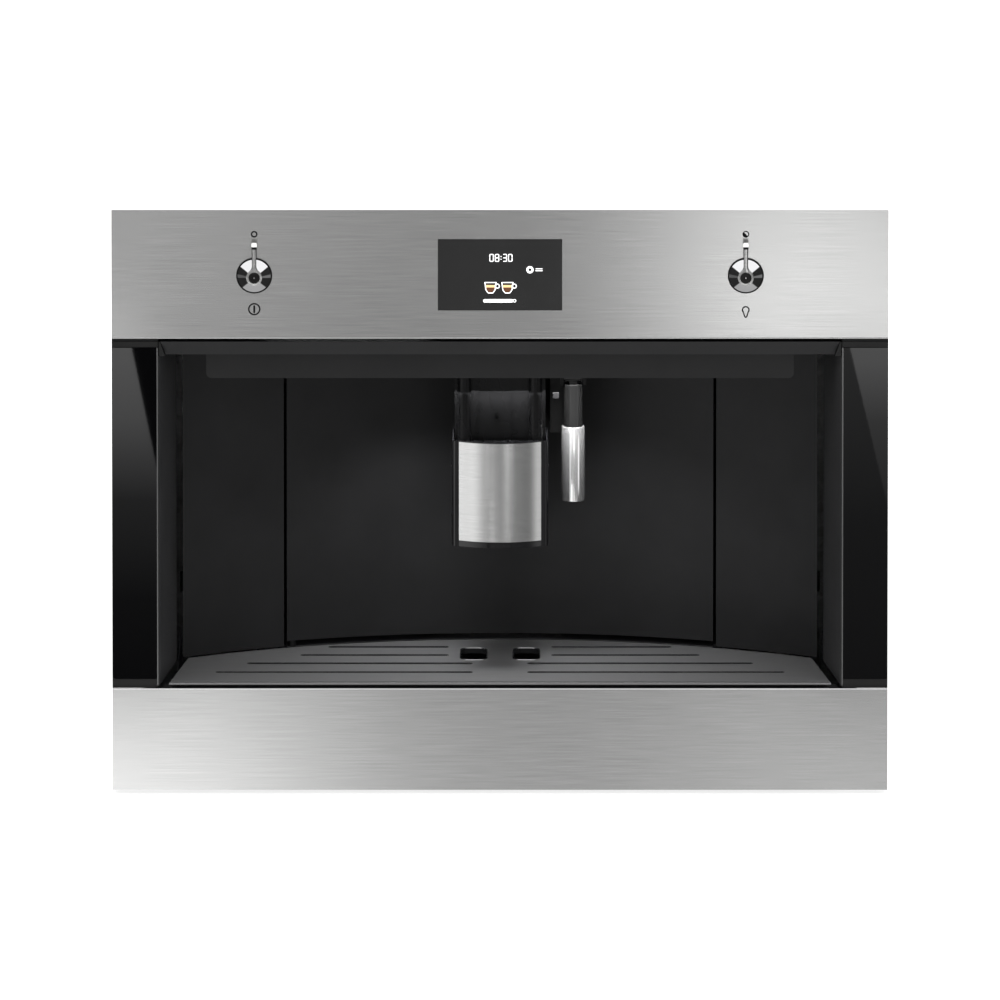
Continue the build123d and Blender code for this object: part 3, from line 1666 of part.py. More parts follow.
with BuildPart() as grounds_box:
    grounds_top = grinder_bottom - grounds_headroom
    open_box(tank_inner, tank_outer, tank_front, tank_rear, bay_floor_top, grounds_top, tank_wall)
    block(
        -tank_middle - pull_width / 2,
        -tank_middle + pull_width / 2,
        tank_front - pull_depth,
        tank_front,
        grounds_top - pull_thickness,
        grounds_top,
    )
    block(
        -tank_middle - pull_width / 2,
        -tank_middle + pull_width / 2,
        tank_front - pull_depth,
        tank_front - pull_depth + pull_thickness,
        grounds_top - pull_drop,
        grounds_top - pull_thickness,
    )
grounds_box.part.label = "grounds_box"
export_step(grounds_box.part, "parts/grounds_box.step")

brew_y = (brew_front + brew_rear) / 2
brew_base = bay_floor_top

with BuildPart() as brew_unit_frame:
    block(-brew_half, brew_half, brew_front, brew_rear, brew_base, brew_base + brew_plate)
    pair(brew_half - brew_plate, brew_half, brew_front, brew_rear, brew_base, brew_top)
    block(-brew_half, brew_half, brew_front, brew_rear, brew_top - brew_plate, brew_top)
    chamber_bottom = brew_base + brew_plate
    chamber_top = chamber_bottom + brew_chamber_height
    upright_rod(0, brew_y, brew_chamber_radius, chamber_bottom, chamber_top)
    upright_rod(0, brew_y, brew_chamber_bore, chamber_bottom, chamber_top, Mode.SUBTRACT)
    upright_rod(0, brew_y, rod_radius + shaft_play, brew_top - brew_plate, brew_top, Mode.SUBTRACT)
brew_unit_frame.part.label = "brew_unit_frame"
export_step(brew_unit_frame.part, "parts/brew_unit_frame.step")

with BuildPart() as brew_piston:
    piston_face = brew_base + brew_plate + piston_rest
    piston_back = piston_face + piston_thickness
    upright_rod(0, brew_y, piston_radius, piston_face, piston_back)
    upright_rod(0, brew_y, rod_radius, piston_back, brew_top + rod_top + piston_travel / 2)
brew_piston.part.label = "brew_piston"
export_step(brew_piston.part, "parts/brew_piston.step")

with BuildPart() as grinder_body:
    upright_rod(grinder_x, grinder_y, grinder_radius, grinder_bottom, grinder_top)
    block(
        grinder_x,
        bay_half,
        grinder_y - grinder_arm_half,
        grinder_y + grinder_arm_half,
        grinder_bottom,
        grinder_bottom + grinder_arm_height,
    )
    well_bottom = grinder_top - burr_well_depth
    upright_rod(grinder_x, grinder_y, burr_well_radius, well_bottom, grinder_top, Mode.SUBTRACT)
    upright_rod(
        grinder_x,
        grinder_y,
        burr_shaft_radius + shaft_play,
        well_bottom - burr_shaft_length,
        well_bottom,
        Mode.SUBTRACT,
    )
grinder_body.part.label = "grinder_body"
export_step(grinder_body.part, "parts/grinder_body.step")

with BuildPart() as grinder_burr:
    burr_bottom = well_bottom + fit_gap
    burr_centre = (grinder_x, front_face + grinder_y, 0)
    with BuildSketch(Plane(origin=burr_centre, x_dir=(1, 0, 0), z_dir=(0, -1, 0))):
        with BuildLine():
            Polyline(
                (0, burr_bottom),
                (burr_radius, burr_bottom),
                (burr_radius, burr_bottom + burr_rim_height),
                (burr_tip_radius, burr_bottom + burr_height),
                (0, burr_bottom + burr_height),
                close=True,
            )
        make_face()
    revolve(axis=Axis(burr_centre, (0, 0, 1)))
    upright_rod(
        grinder_x,
        grinder_y,
        burr_shaft_radius,
        burr_bottom - burr_shaft_length + 2 * fit_gap,
        burr_bottom,
    )
    slot_ring = (burr_radius + burr_tip_radius) / 2
    with Locations((grinder_x, front_face + grinder_y, burr_bottom + burr_height)):
        with PolarLocations(slot_ring, burr_slot_count):
            Box(burr_tip_radius, burr_slot_width, burr_height, mode=Mode.SUBTRACT)
grinder_burr.part.label = "grinder_burr"
export_step(grinder_burr.part, "parts/grinder_burr.step")

with BuildPart() as bean_hopper:
    block(hopper_left, hopper_right, hopper_front, hopper_rear, hopper_bottom, top_front_height)
    upright_rod(grinder_x, grinder_y, burr_well_radius + hopper_wall, grinder_top, hopper_bottom)
    block(
        hopper_left + hopper_wall,
        hopper_right - hopper_wall,
        hopper_front + hopper_wall,
        hopper_rear - hopper_wall,
        hopper_bottom + hopper_wall,
        top_front_height,
        Mode.SUBTRACT,
    )
    hopper_floor = hopper_bottom + hopper_wall
    upright_rod(grinder_x, grinder_y, burr_well_radius, grinder_top, hopper_floor, Mode.SUBTRACT)
    with BuildSketch(top_plane.offset(-casing_sheet - hopper_cover_gap)):
        with Locations((0, top_length / 2)):
            Rectangle(reach, 2 * top_length)
    extrude(amount=reach, mode=Mode.SUBTRACT)
bean_hopper.part.label = "bean_hopper"
export_step(bean_hopper.part, "parts/bean_hopper.step")

# ================================================================ water and power
pump_height = floor_top + pump_foot_height / 2 + pump_radius
hose_row = niche_depth + boiler_set_backs[0]

with BuildPart() as pump:
    depth_rod(pump_x, pump_height, pump_radius, pump_front, pump_rear)
    block(
        pump_x - pump_foot_width / 2,
        pump_x + pump_foot_width / 2,
        pump_front + pump_foot_height,
        pump_rear - pump_foot_height,
        floor_top,
        floor_top + pump_foot_top,
    )
    depth_rod(pump_x, pump_height, port_radius, pump_front - port_length, pump_front)
pump.part.label = "pump"
export_step(pump.part, "parts/pump.step")

with BuildPart() as boilers:
    for set_back in boiler_set_backs:
        row = niche_depth + set_back
        block(
            boiler_x - boiler_radius,
            boiler_x + boiler_radius,
            row - boiler_radius,
            row + boiler_radius,
            floor_top,
            floor_top + boiler_foot,
        )
        upright_rod(boiler_x, row, boiler_radius, floor_top + boiler_foot, floor_top + boiler_height)
    cross_rod(hose_row, pump_height, port_radius, boiler_x - boiler_radius - port_length, boiler_x)
boilers.part.label = "boilers"
export_step(boilers.part, "parts/boilers.step")

with BuildPart() as water_hoses:
    hose_start = pump_front - port_length
    hose_end = boiler_x - boiler_radius - port_length
    with BuildLine(level(pump_height)):
        FilletPolyline((pump_x, hose_start), (pump_x, hose_row), (hose_end, hose_row), radius=hose_bend)
    with BuildSketch(facing(hose_start)):
        with Locations((pump_x, pump_height)):
            Circle(hose_radius)
            Circle(hose_bore, mode=Mode.SUBTRACT)
    sweep()
water_hoses.part.label = "water_hoses"
export_step(water_hoses.part, "parts/water_hoses.step")

with BuildPart() as power_board:
    board_bottom = floor_top + board_lift
    board_top = board_bottom + board_sheet
    block(-board_half, board_half, board_front, board_rear, board_bottom, board_top)
    for side in (-1, 1):
        for y in (board_front + screw_inset, board_rear - screw_inset):
            upright_rod(side * (board_half - screw_inset), y, board_post_radius, floor_top, board_bottom)
    component_top = board_top + component_height
    block(
        -transformer_width,
        0,
        board_front + screw_inset,
        board_rear - screw_inset,
        board_top,
        component_top,
    )
    for column in range(capacitor_count):
        x = capacitor_start + column * capacitor_pitch
        upright_rod(x, (board_front + board_rear) / 2, capacitor_radius, board_top, component_top)
power_board.part.label = "power_board"
export_step(power_board.part, "parts/power_board.step")

with BuildPart() as mains_inlet:
    inlet_front = casing_rear - inlet_body_depth
    block(
        inlet_x - inlet_width / 2,
        inlet_x + inlet_width / 2,
        casing_rear,
        casing_rear + inlet_flange,
        inlet_height - inlet_flange_height / 2,
        inlet_height + inlet_flange_height / 2,
    )
    block(
        inlet_x - inlet_body_width / 2,
        inlet_x + inlet_body_width / 2,
        inlet_front,
        casing_rear,
        inlet_height - inlet_body_height / 2,
        inlet_height + inlet_body_height / 2,
    )
    inlet_mouth = casing_rear + inlet_flange
    block(
        inlet_x - inlet_cavity_width / 2,
        inlet_x + inlet_cavity_width / 2,
        inlet_mouth - inlet_cavity_depth,
        inlet_mouth,
        inlet_height - inlet_cavity_height / 2,
        inlet_height + inlet_cavity_height / 2,
        Mode.SUBTRACT,
    )
    for column in (-1, 0, 1):
        x = inlet_x + column * inlet_pin_pitch
        block(
            x - inlet_pin_width / 2,
            x + inlet_pin_width / 2,
            inlet_mouth - inlet_cavity_depth,
            inlet_mouth - inlet_cavity_depth + inlet_pin_length,
            inlet_height - inlet_pin_height / 2,
            inlet_height + inlet_pin_height / 2,
        )
mains_inlet.part.label = "mains_inlet"
export_step(mains_inlet.part, "parts/mains_inlet.step")
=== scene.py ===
"""Built-in coffee machine: new surfaces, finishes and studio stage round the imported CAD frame."""

import bpy
import numpy as np
from bpy.props import FloatProperty, FloatVectorProperty, IntProperty, PointerProperty
from bpy.types import Operator, Panel, PropertyGroup
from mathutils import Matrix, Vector


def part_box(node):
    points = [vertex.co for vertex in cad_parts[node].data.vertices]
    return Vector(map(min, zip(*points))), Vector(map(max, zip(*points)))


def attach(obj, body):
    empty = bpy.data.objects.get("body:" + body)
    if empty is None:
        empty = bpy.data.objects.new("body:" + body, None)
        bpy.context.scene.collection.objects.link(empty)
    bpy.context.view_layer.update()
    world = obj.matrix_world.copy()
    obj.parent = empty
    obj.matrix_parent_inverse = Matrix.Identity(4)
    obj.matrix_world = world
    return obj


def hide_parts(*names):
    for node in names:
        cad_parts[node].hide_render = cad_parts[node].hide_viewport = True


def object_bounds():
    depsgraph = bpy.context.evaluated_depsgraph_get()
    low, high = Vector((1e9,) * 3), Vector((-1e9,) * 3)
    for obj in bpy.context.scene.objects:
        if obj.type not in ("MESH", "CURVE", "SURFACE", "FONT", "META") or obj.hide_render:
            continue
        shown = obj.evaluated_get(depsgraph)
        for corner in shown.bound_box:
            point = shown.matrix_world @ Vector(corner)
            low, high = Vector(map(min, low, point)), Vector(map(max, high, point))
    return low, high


bl_info = {
    "name": "Built-in coffee machine",
    "version": (1, 0, 0),
    "blender": (4, 5, 0),
    "location": "View3D > Sidebar > Coffee machine",
    "description": "Builds the visible surfaces, finishes and stage of a built-in coffee machine",
    "category": "Object",
}

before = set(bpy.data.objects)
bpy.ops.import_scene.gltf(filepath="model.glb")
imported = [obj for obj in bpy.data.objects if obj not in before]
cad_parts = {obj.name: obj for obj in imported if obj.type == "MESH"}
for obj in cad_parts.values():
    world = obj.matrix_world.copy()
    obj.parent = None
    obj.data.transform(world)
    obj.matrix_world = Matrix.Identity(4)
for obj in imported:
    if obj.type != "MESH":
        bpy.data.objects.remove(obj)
cad_low, cad_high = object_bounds()
front_low, front_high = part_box("control_fascia")
drawer_low, drawer_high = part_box("lower_fascia")
collar_low, collar_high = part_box("lever_collars")
display_low, display_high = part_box("display_glass")
sleeve_low, sleeve_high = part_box("wand_sleeve")
cover_low, cover_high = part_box("tray_cover")
mm = 0.001
front_y = front_low.y
# The camera looks down on the middle of the front at the photograph's angle, from so far off that
# upright edges stay nearly parallel.
camera_distance, camera_pitch, camera_lift = 24.0, np.radians(11.3), 0.35 * mm
camera_lens, sensor_width = 1123.0, 36.0
camera_target = Vector((0.0, front_y, (front_high.z + drawer_low.z) / 2 + camera_lift))
camera_back = Vector((0.0, -np.cos(camera_pitch), np.sin(camera_pitch)))
camera_place = camera_target + camera_back * camera_distance


# ---------------------------------------------------------------- settings
def length_property(name, description, default):
    """A length setting with its name, description and default in millimetres."""
    return FloatProperty(name=name, description=description, default=default * mm, unit="LENGTH")


class CoffeeMachineSizes(PropertyGroup):
    """Sizes of the new surfaces that a user would change."""

    rim_round: length_property("Collar rim rounding", "Radius of the rounded rim of the lever collars", 0.3)
    # The black band round each collar is painted shade: a dark ring standing in for the shadow at the
    # collar's foot.
    rim_shadow_width: length_property("Collar rim width", "Width of the black band round the lever collars", 1.1)
    edge_roll: length_property("Rolled edge radius", "Radius of the rolled edges on fascias and tray", 0.62)
    plate_round: length_property("Lever edge rounding", "Radius of the lever plates' rounded edges", 0.4)
    mark_stroke: length_property("Mark line width", "Width of the printed lines on the fascia", 1.15)
    print_thickness: length_property("Print thickness", "How far marks and symbols stand proud", 0.04)
    digit_height: length_property("Digit height", "Height of the numbers on the display", 5.4)
    slot_bead: length_property("Slot edge width", "Width of the light edge round the slots", 0.55)
    # The black slot lining is painted shade inside the slots.
    slot_shade_wall: length_property("Slot wall thickness", "Thickness of the black lining inside the slots", 0.3)
    round_steps: IntProperty(
        name="Steps round",
        description="Number of steps round a turned surface",
        default=96,
        min=24,
        max=192,
    )
    grain_length: length_property("Grain length", "Length of the brush marks in the steel", 70)
    grain_width: length_property("Grain width", "Width of the brush marks in the steel", 0.8)


def colour_property(name, description, default):
    """A colour setting with its name, description and default."""
    return FloatVectorProperty(
        name=name, description=description, default=default, subtype="COLOR", size=3, min=0.0, max=1.0
    )


class CoffeeMachineColours(PropertyGroup):
    """Colours of the finishes that a user would change."""

    steel: colour_property("Brushed steel", "Colour of the brushed steel front", (0.62, 0.62, 0.615))
    chrome: colour_property("Chrome", "Colour of the polished metal", (0.83, 0.83, 0.84))
    glass: colour_property("Black glass", "Colour of the side strips", (0.0006, 0.0006, 0.0008))
    satin: colour_property("Niche black", "Colour of the niche's painted panels", (0.014, 0.014, 0.0145))
    gloss: colour_property("Glossy black", "Colour of the glossy black plastic", (0.014, 0.014, 0.015))
    plastic: colour_property("Black plastic", "Colour of the matt black plastic", (0.02, 0.02, 0.021))
    print_ink: colour_property("Print", "Colour of the printed marks", (0.006, 0.006, 0.0065))
    screen: colour_property("Screen", "Colour of the switched-on display", (0.0125, 0.0125, 0.0125))
    light: colour_property("Screen symbols", "Colour of the white symbols on the display", (0.9, 0.9, 0.9))
    coffee: colour_property("Coffee symbol", "Colour of the dark part of drink symbols", (0.09, 0.03, 0.01))
    foam: colour_property("Foam symbol", "Colour of the light part of drink symbols", (0.75, 0.47, 0.22))


# ---------------------------------------------------------------- surfaces
def grid_shape(points, closed_rows=False):
    """A grid of points as one closed shape: its points, the quads between neighbours and its lids.

    Points are numbered row by row. Each row is a closed loop, and where the last row isn't joined to the
    first, both get a flat lid of one face.
    """
    rows, columns = points.shape[:2]
    last_row = rows if closed_rows else rows - 1
    row, column = np.meshgrid(np.arange(last_row), np.arange(columns), indexing="ij")
    next_row, next_column = (row + 1) % rows, (column + 1) % columns
    corners = ((row, column), (row, next_column), (next_row, next_column), (next_row, column))
    quads = np.stack([down * columns + across for down, across in corners], axis=-1).reshape(-1, 4)
    first = np.arange(columns)
    lids = [] if closed_rows else [first[::-1], first + (rows - 1) * columns]
    return points.reshape(-1, 3), quads, lids


def turned(profile, centre, axis, steps, closed=False):
    """A profile of (distance from the axis, place along it) carried round the axis in equal turns.

    The axis is at right angles to X. A closed profile makes a ring, its last row joined to its first.
    """
    profile = np.asarray(profile, float)
    angle = np.linspace(0.0, 2 * np.pi, steps, endpoint=False)
    axis = np.asarray(axis, float)
    side = np.array([1.0, 0.0, 0.0])
    other = np.cross(axis, side)
    spoke = np.cos(angle)[:, None] * side + np.sin(angle)[:, None] * other
    points = (
        np.asarray(centre, float)
        + profile[:, None, 0:1] * spoke[None, :, :]
        + profile[:, None, 1:2] * axis
    )
    return grid_shape(points, closed)


def rounded_corner(start, corner, end, radius, steps=5):
    """A quarter-like arc of the given radius between two straight runs that meet at a corner."""
    start, corner, end = (np.asarray(point, float) for point in (start, corner, end))
    into = (start - corner) / np.linalg.norm(start - corner)
    out = (end - corner) / np.linalg.norm(end - corner)
    half = np.arccos(np.clip(into @ out, -1, 1)) / 2
    reach = radius / np.tan(half)
    middle = corner + (into + out) / np.linalg.norm(into + out) * radius / np.sin(half)
    first, last = corner + into * reach - middle, corner + out * reach - middle
    turn = np.arctan2(last[1], last[0]) - np.arctan2(first[1], first[0])
    turn = (turn + np.pi) % (2 * np.pi) - np.pi
    angle = np.arctan2(first[1], first[0]) + np.linspace(0, 1, steps) * turn
    return middle + radius * np.stack([np.cos(angle), np.sin(angle)], axis=-1)


def softened(outline, radii, steps=5, closed=False):
    """A polyline whose corners are rounded, each by its own radius; a radius of 0 keeps the corner."""
    outline = [np.asarray(point, float) for point in outline]
    pieces = []
    count = len(outline)
    for index, (point, radius) in enumerate(zip(outline, radii)):
        ends = index in (0, count - 1) and not closed
        if radius <= 0 or ends:
            pieces.append(point[None, :])
        else:
            before, after = outline[index - 1], outline[(index + 1) % count]
            pieces.append(rounded_corner(before, point, after, radius, steps))
    return np.concatenate(pieces)


def rectangle(left, right, low, high):
    """The corners of a rectangle, from the lower left one round by the lower right one."""
    return [(left, low), (right, low), (right, high), (left, high)]


def rounded_rectangle(left, right, low, high, radii, steps=5):
    """A rectangle with rounded corners."""
    return softened(rectangle(left, right, low, high), radii, steps, closed=True)


def sideways(path, closed):
    """Unit vectors at right angles to a flat path, from the difference of each point's two neighbours."""
    if closed:
        along = np.roll(path, -1, axis=0) - np.roll(path, 1, axis=0)
    else:
        along = np.gradient(path, axis=0)
    along /= np.linalg.norm(along, axis=1)[:, None]
    return np.stack([along[:, 1], -along[:, 0]], axis=-1)


def flat_outline(outline, front, thickness, edge=0.0, steps=4):
    """An outline in X and Z carried along Y into a plate; its front edge is rounded by drawing it inwards."""
    outline = np.asarray(outline, float)
    outward = sideways(outline, closed=True)
    turn = np.linspace(0, np.pi / 2, steps) if edge > 0 else np.array([0.0])
    inset = np.concatenate([[0.0], edge * (1 - np.cos(turn))])
    depth = np.concatenate([[front + thickness], front + edge * (1 - np.sin(turn))])
    flat = outline[None, :, :] - inset[:, None, None] * outward[None, :, :]
    points = np.stack([flat[..., 0], np.broadcast_to(depth[:, None], flat.shape[:2]), flat[..., 1]], axis=-1)
    return grid_shape(points)


def arc(centre, radius, start, end, steps):
    """Points on a circle in X and Z between two angles in degrees, anticlockwise for the viewer."""
    angle = np.radians(np.linspace(start, end, steps))
    return np.stack([centre[0] + radius * np.cos(angle), centre[1] + radius * np.sin(angle)], axis=-1)


def disc(centre, radius, front, thickness, steps=48):
    """A thin round plate facing the viewer."""
    return flat_outline(arc(centre, radius, 0, 360 - 360 / steps, steps), front, thickness)


def bar(start, end, width, front, thickness, steps=8):
    """A thin bar with half-round ends: two half circles joined by straight sides."""
    start, end = np.asarray(start, float), np.asarray(end, float)
    heading = np.degrees(np.arctan2(end[1] - start[1], end[0] - start[0]))
    outline = np.concatenate(
        [
            arc(end, width / 2, heading - 90, heading + 90, steps),
            arc(start, width / 2, heading + 90, heading + 270, steps),
        ]
    )
    return flat_outline(outline, front, thickness)


def stroke(path, width, front, thickness, closed=False):
    """A line of even width along a path in X and Z: a flat rectangle carried along it."""
    path = np.asarray(path, float)
    outward = sideways(path, closed) * width / 2
    outer, inner = path + outward, path - outward
    front_row, back_row = np.full(len(path), front), np.full(len(path), front + thickness)
    corners = [(outer, back_row), (outer, front_row), (inner, front_row), (inner, back_row)]
    points = np.stack([np.stack([flat[:, 0], depth, flat[:, 1]], axis=-1) for flat, depth in corners], axis=1)
    return grid_shape(points, closed)


def ring(centre, outer, inner, front, thickness, steps=48):
    """A flat ring facing the viewer."""
    middle = arc(centre, (outer + inner) / 2, 0, 360 - 360 / steps, steps)
    return stroke(middle, outer - inner, front, thickness, closed=True)


def edging(path, profile, closed=True):
    """A profile of (side, height) carried along a level path: X and Y = path + outward * side."""
    path, profile = np.asarray(path, float), np.asarray(profile, float)
    outward = sideways(path, closed)
    flat = path[:, None, :] + profile[None, :, 0:1] * outward[:, None, :]
    height = np.broadcast_to(profile[None, :, 1:2], (*flat.shape[:2], 1))
    return grid_shape(np.concatenate([flat, height], axis=-1), closed)


def rolled_edge(half_length, y, z, radius, steps=16):
    """A round bar along X: a circle in Y and Z carried from one side to the other."""
    angle = np.linspace(0, 2 * np.pi, steps, endpoint=False)
    circle = np.stack([radius * np.cos(angle), z + radius * np.sin(angle)], axis=-1)
    return edging([(-half_length, y), (half_length, y)], circle, closed=False)


def volume_sign(points, quads, lids):
    """1 if the faces of a closed shape point outwards, otherwise -1.

    It is the sign of the volume: the sum of a . (b x c) over the triangles that fan out in each face.
    """
    volume = 0.0
    for faces in (quads, *(lid[None, :] for lid in lids)):
        corner = points[faces]
        volume += np.einsum("ijk,ik->", np.cross(corner[:, 1:-1], corner[:, 2:]), corner[:, 0])
    return 1 if volume > 0 else -1


def make_piece(name, groups, body):
    """One object from groups of (shapes, material); each shape is closed and turned to face outwards."""
    smooth_angle = np.radians(35.0)
    points, faces, indices, offset = [], [], [], 0
    for index, (shapes, _) in enumerate(groups):
        for shape_points, quads, lids in shapes:
            order = volume_sign(shape_points, quads, lids)
            points.append(shape_points)
            faces += (quads[:, ::order] + offset).tolist()
            faces += [(lid[::order] + offset).tolist() for lid in lids]
            offset += len(shape_points)
        indices += [index] * (len(faces) - len(indices))
    mesh = bpy.data.meshes.new(name)
    mesh.from_pydata(np.concatenate(points).tolist(), [], faces)
    mesh.polygons.foreach_set("material_index", np.array(indices, np.int32))
    mesh.polygons.foreach_set("use_smooth", np.ones(len(faces), bool))
    mesh.set_sharp_from_angle(angle=smooth_angle)
    for _, finish in groups:
        mesh.materials.append(finish)
    mesh.validate()
    mesh.update()
    piece = bpy.data.objects.new(name, mesh)
    bpy.context.scene.collection.objects.link(piece)
    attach(piece, body)
    return piece


# ---------------------------------------------------------------- finishes
class Nodes:
    """A node tree under construction, with short calls for its usual nodes."""

    def __init__(self, tree):
        self.tree = tree

    def node(self, kind, **values):
        made = self.tree.nodes.new(kind)
        for key, value in values.items():
            setattr(made, key, value)
        return made

    def link(self, source, target):
        self.tree.links.new(source, target)

    def spread(self, value, low, high, from_low=0.3, from_high=0.7):
        """The value carried from one range to another."""
        made = self.node("ShaderNodeMapRange")
        numbers = {"From Min": from_low, "From Max": from_high, "To Min": low, "To Max": high}
        for socket, number in numbers.items():
            made.inputs[socket].default_value = number
        self.link(value, made.inputs["Value"])
        return made.outputs["Result"]

    def shades(self, factor, stops):
        """A colour ramp from (place, colour) stops."""
        made = self.node("ShaderNodeValToRGB")
        ramp = made.color_ramp
        while len(ramp.elements) < len(stops):
            ramp.elements.new(0.5)
        for element, (position, colour) in zip(ramp.elements, stops):
            element.position = position
            element.color = (*colour, 1.0)
        self.link(factor, made.inputs["Fac"])
        return made.outputs["Color"]


class Finish(Nodes):
    """A node material under construction: its shader's own values, and patterns for its sockets."""

    def __init__(self, name, colour=(0.5, 0.5, 0.5), metallic=0.0, roughness=0.5):
        self.material = bpy.data.materials.new(name)
        self.material.use_nodes = True
        super().__init__(self.material.node_tree)
        self.shader = self.tree.nodes["Principled BSDF"]
        self.set("Base Color", (*colour, 1.0))
        self.set("Metallic", metallic)
        self.set("Roughness", roughness)
        self.material.diffuse_color = (*colour, 1.0)

    def set(self, socket, value):
        self.shader.inputs[socket].default_value = value

    def place(self, scale=(1.0, 1.0, 1.0), turn=(0.0, 0.0, 0.0)):
        """Object coordinates, stretched and turned."""
        mapping = self.node("ShaderNodeMapping")
        mapping.inputs["Scale"].default_value = scale
        mapping.inputs["Rotation"].default_value = turn
        self.link(self.node("ShaderNodeTexCoord").outputs["Object"], mapping.inputs["Vector"])
        return mapping.outputs["Vector"]

    def noise(self, place, scale=1.0, detail=3.0, roughness=0.55):
        made = self.node("ShaderNodeTexNoise")
        made.inputs["Scale"].default_value = scale
        made.inputs["Detail"].default_value = detail
        made.inputs["Roughness"].default_value = roughness
        self.link(place, made.inputs["Vector"])
        return made.outputs["Fac"]

    def multiply(self, first, second):
        made = self.node("ShaderNodeMath", operation="MULTIPLY")
        self.link(first, made.inputs[0])
        self.link(second, made.inputs[1])
        return made.outputs[0]

    def tint(self, colour, factor, low, high):
        """The base colour made darker and lighter by a pattern, between two shares of it."""
        colour = np.asarray(colour, float)
        self.link(
            self.shades(factor, [(0.25, tuple(colour * low)), (0.75, tuple(np.minimum(colour * high, 1.0)))]),
            self.shader.inputs["Base Color"],
        )

    def wear(self, factor, low, high):
        """Roughness between two values by a pattern."""
        self.link(self.spread(factor, low, high), self.shader.inputs["Roughness"])

    def relief(self, height, distance, strength=1.0):
        """A bump of the given height in metres."""
        made = self.node("ShaderNodeBump")
        made.inputs["Strength"].default_value = strength
        made.inputs["Distance"].default_value = distance
        self.link(height, made.inputs["Height"])
        self.link(made.outputs["Normal"], self.shader.inputs["Normal"])


def brushed_steel(name, colour, sizes, roughness=0.2, contrast=0.05, across="Z", metallic=1.0, share=1.0):
    """Steel with long brush marks: fine and coarse noise stretched along the grain, in colour and relief."""
    finish = Finish(name, colour, metallic=metallic, roughness=roughness)
    long_way, short_way = 1 / (share * sizes.grain_length), 1 / (share * sizes.grain_width)

    def grain(length, width):
        return tuple(short_way / width if axis == across else long_way / length for axis in "XYZ")

    fine = finish.noise(finish.place(grain(1.0, 0.4)), 1.0, 2.0, 0.5)
    coarse = finish.noise(finish.place(grain(0.5, 1.0)), 1.0, 3.0, 0.55)
    cloud = finish.noise(finish.place((5.0, 5.0, 8.0)), 1.0, 2.0, 0.5)
    marks = finish.multiply(
        finish.spread(fine, 1 - contrast, 1 + contrast),
        finish.spread(coarse, 1 - contrast / 2, 1 + contrast / 2),
    )
    marks = finish.multiply(marks, finish.spread(cloud, 1 - contrast / 4, 1 + contrast / 4))
    low, high = 1 - 2 * contrast, 1 + 2 * contrast
    dark, light = (tuple(np.minimum(np.asarray(colour, float) * share, 1.0)) for share in (low, high))
    tone = finish.spread(marks, 0.0, 1.0, low, high)
    finish.link(finish.shades(tone, [(0.0, dark), (1.0, light)]), finish.shader.inputs["Base Color"])
    finish.wear(coarse, roughness * 0.9, roughness * 1.1)
    finish.set("Anisotropic", 0.5)
    finish.set("Anisotropic Rotation", 0.25)
    finish.relief(fine, 0.002 * mm, 0.4)
    return finish.material


def polished_metal(name, colour, roughness=0.05, metallic=1.0, hairlines=0.2):
    """Polished plating: nearly smooth, with faint haze and hairlines."""
    finish = Finish(name, colour, metallic=metallic, roughness=roughness)
    haze = finish.noise(finish.place((60.0, 60.0, 60.0)), 1.0, 3.0)
    hair = finish.noise(finish.place((90.0, 90.0, 1400.0)), 1.0, 2.0)
    finish.tint(colour, haze, 0.94, 1.03)
    finish.wear(haze, roughness * 0.6, roughness * 1.6)
    finish.relief(hair, 0.001 * mm, hairlines)
    return finish.material


def gloss_surface(name, colour, roughness, shine=0.5):
    """Smooth black glass or lacquer: faint smears in the gloss and a barely uneven tone."""
    finish = Finish(name, colour, roughness=roughness)
    smear = finish.noise(finish.place((14.0, 14.0, 9.0), (0.3, 0.2, 0.5)), 1.0, 4.0, 0.6)
    dust = finish.noise(finish.place((900.0, 900.0, 900.0)), 1.0, 2.0)
    finish.tint(colour, smear, 0.85, 1.2)
    finish.wear(smear, roughness * 0.75, roughness * 1.35)
    finish.relief(dust, 0.002 * mm, 0.25)
    finish.set("Specular IOR Level", shine)
    return finish.material


def moulded_plastic(name, colour, roughness=0.5, grain=1400.0, height=0.03, shine=0.5):
    """Moulded plastic: a fine spark-eroded grain, slightly uneven in tone and gloss."""
    finish = Finish(name, colour, roughness=roughness)
    pits = finish.noise(finish.place((grain, grain, grain)), 1.0, 3.0)
    cloud = finish.noise(finish.place((25.0, 25.0, 25.0)), 1.0, 3.0)
    finish.tint(colour, cloud, 0.88, 1.12)
    finish.wear(pits, roughness * 0.88, roughness * 1.12)
    finish.relief(pits, height * mm, 0.5)
    finish.set("Specular IOR Level", shine)
    return finish.material


def galvanised_sheet(name, colour, roughness=0.42):
    """Zinc-coated sheet: crystal cells of slightly different tone, with faint rolling lines."""
    finish = Finish(name, colour, metallic=0.9, roughness=roughness)
    cells = finish.node("ShaderNodeTexVoronoi")
    cells.inputs["Scale"].default_value = 1.0
    finish.link(finish.place((160.0, 160.0, 160.0)), cells.inputs["Vector"])
    tone = finish.node("ShaderNodeSeparateColor")
    finish.link(cells.outputs["Color"], tone.inputs["Color"])
    rolled = finish.noise(finish.place((6.0, 420.0, 420.0)), 1.0, 3.0)
    crystals, lines = finish.spread(tone.outputs["Red"], 0.85, 1.0, 0.0, 1.0), finish.spread(rolled, 0.9, 1.0)
    dark, light = (tuple(np.minimum(np.asarray(colour, float) * share, 1.0)) for share in (0.8, 1.1))
    tones = finish.shades(finish.multiply(crystals, lines), [(0.74, dark), (1.0, light)])
    finish.link(tones, finish.shader.inputs["Base Color"])
    finish.wear(tone.outputs["Green"], roughness * 0.85, roughness * 1.15)
    finish.relief(rolled, 0.01 * mm, 0.4)
    return finish.material


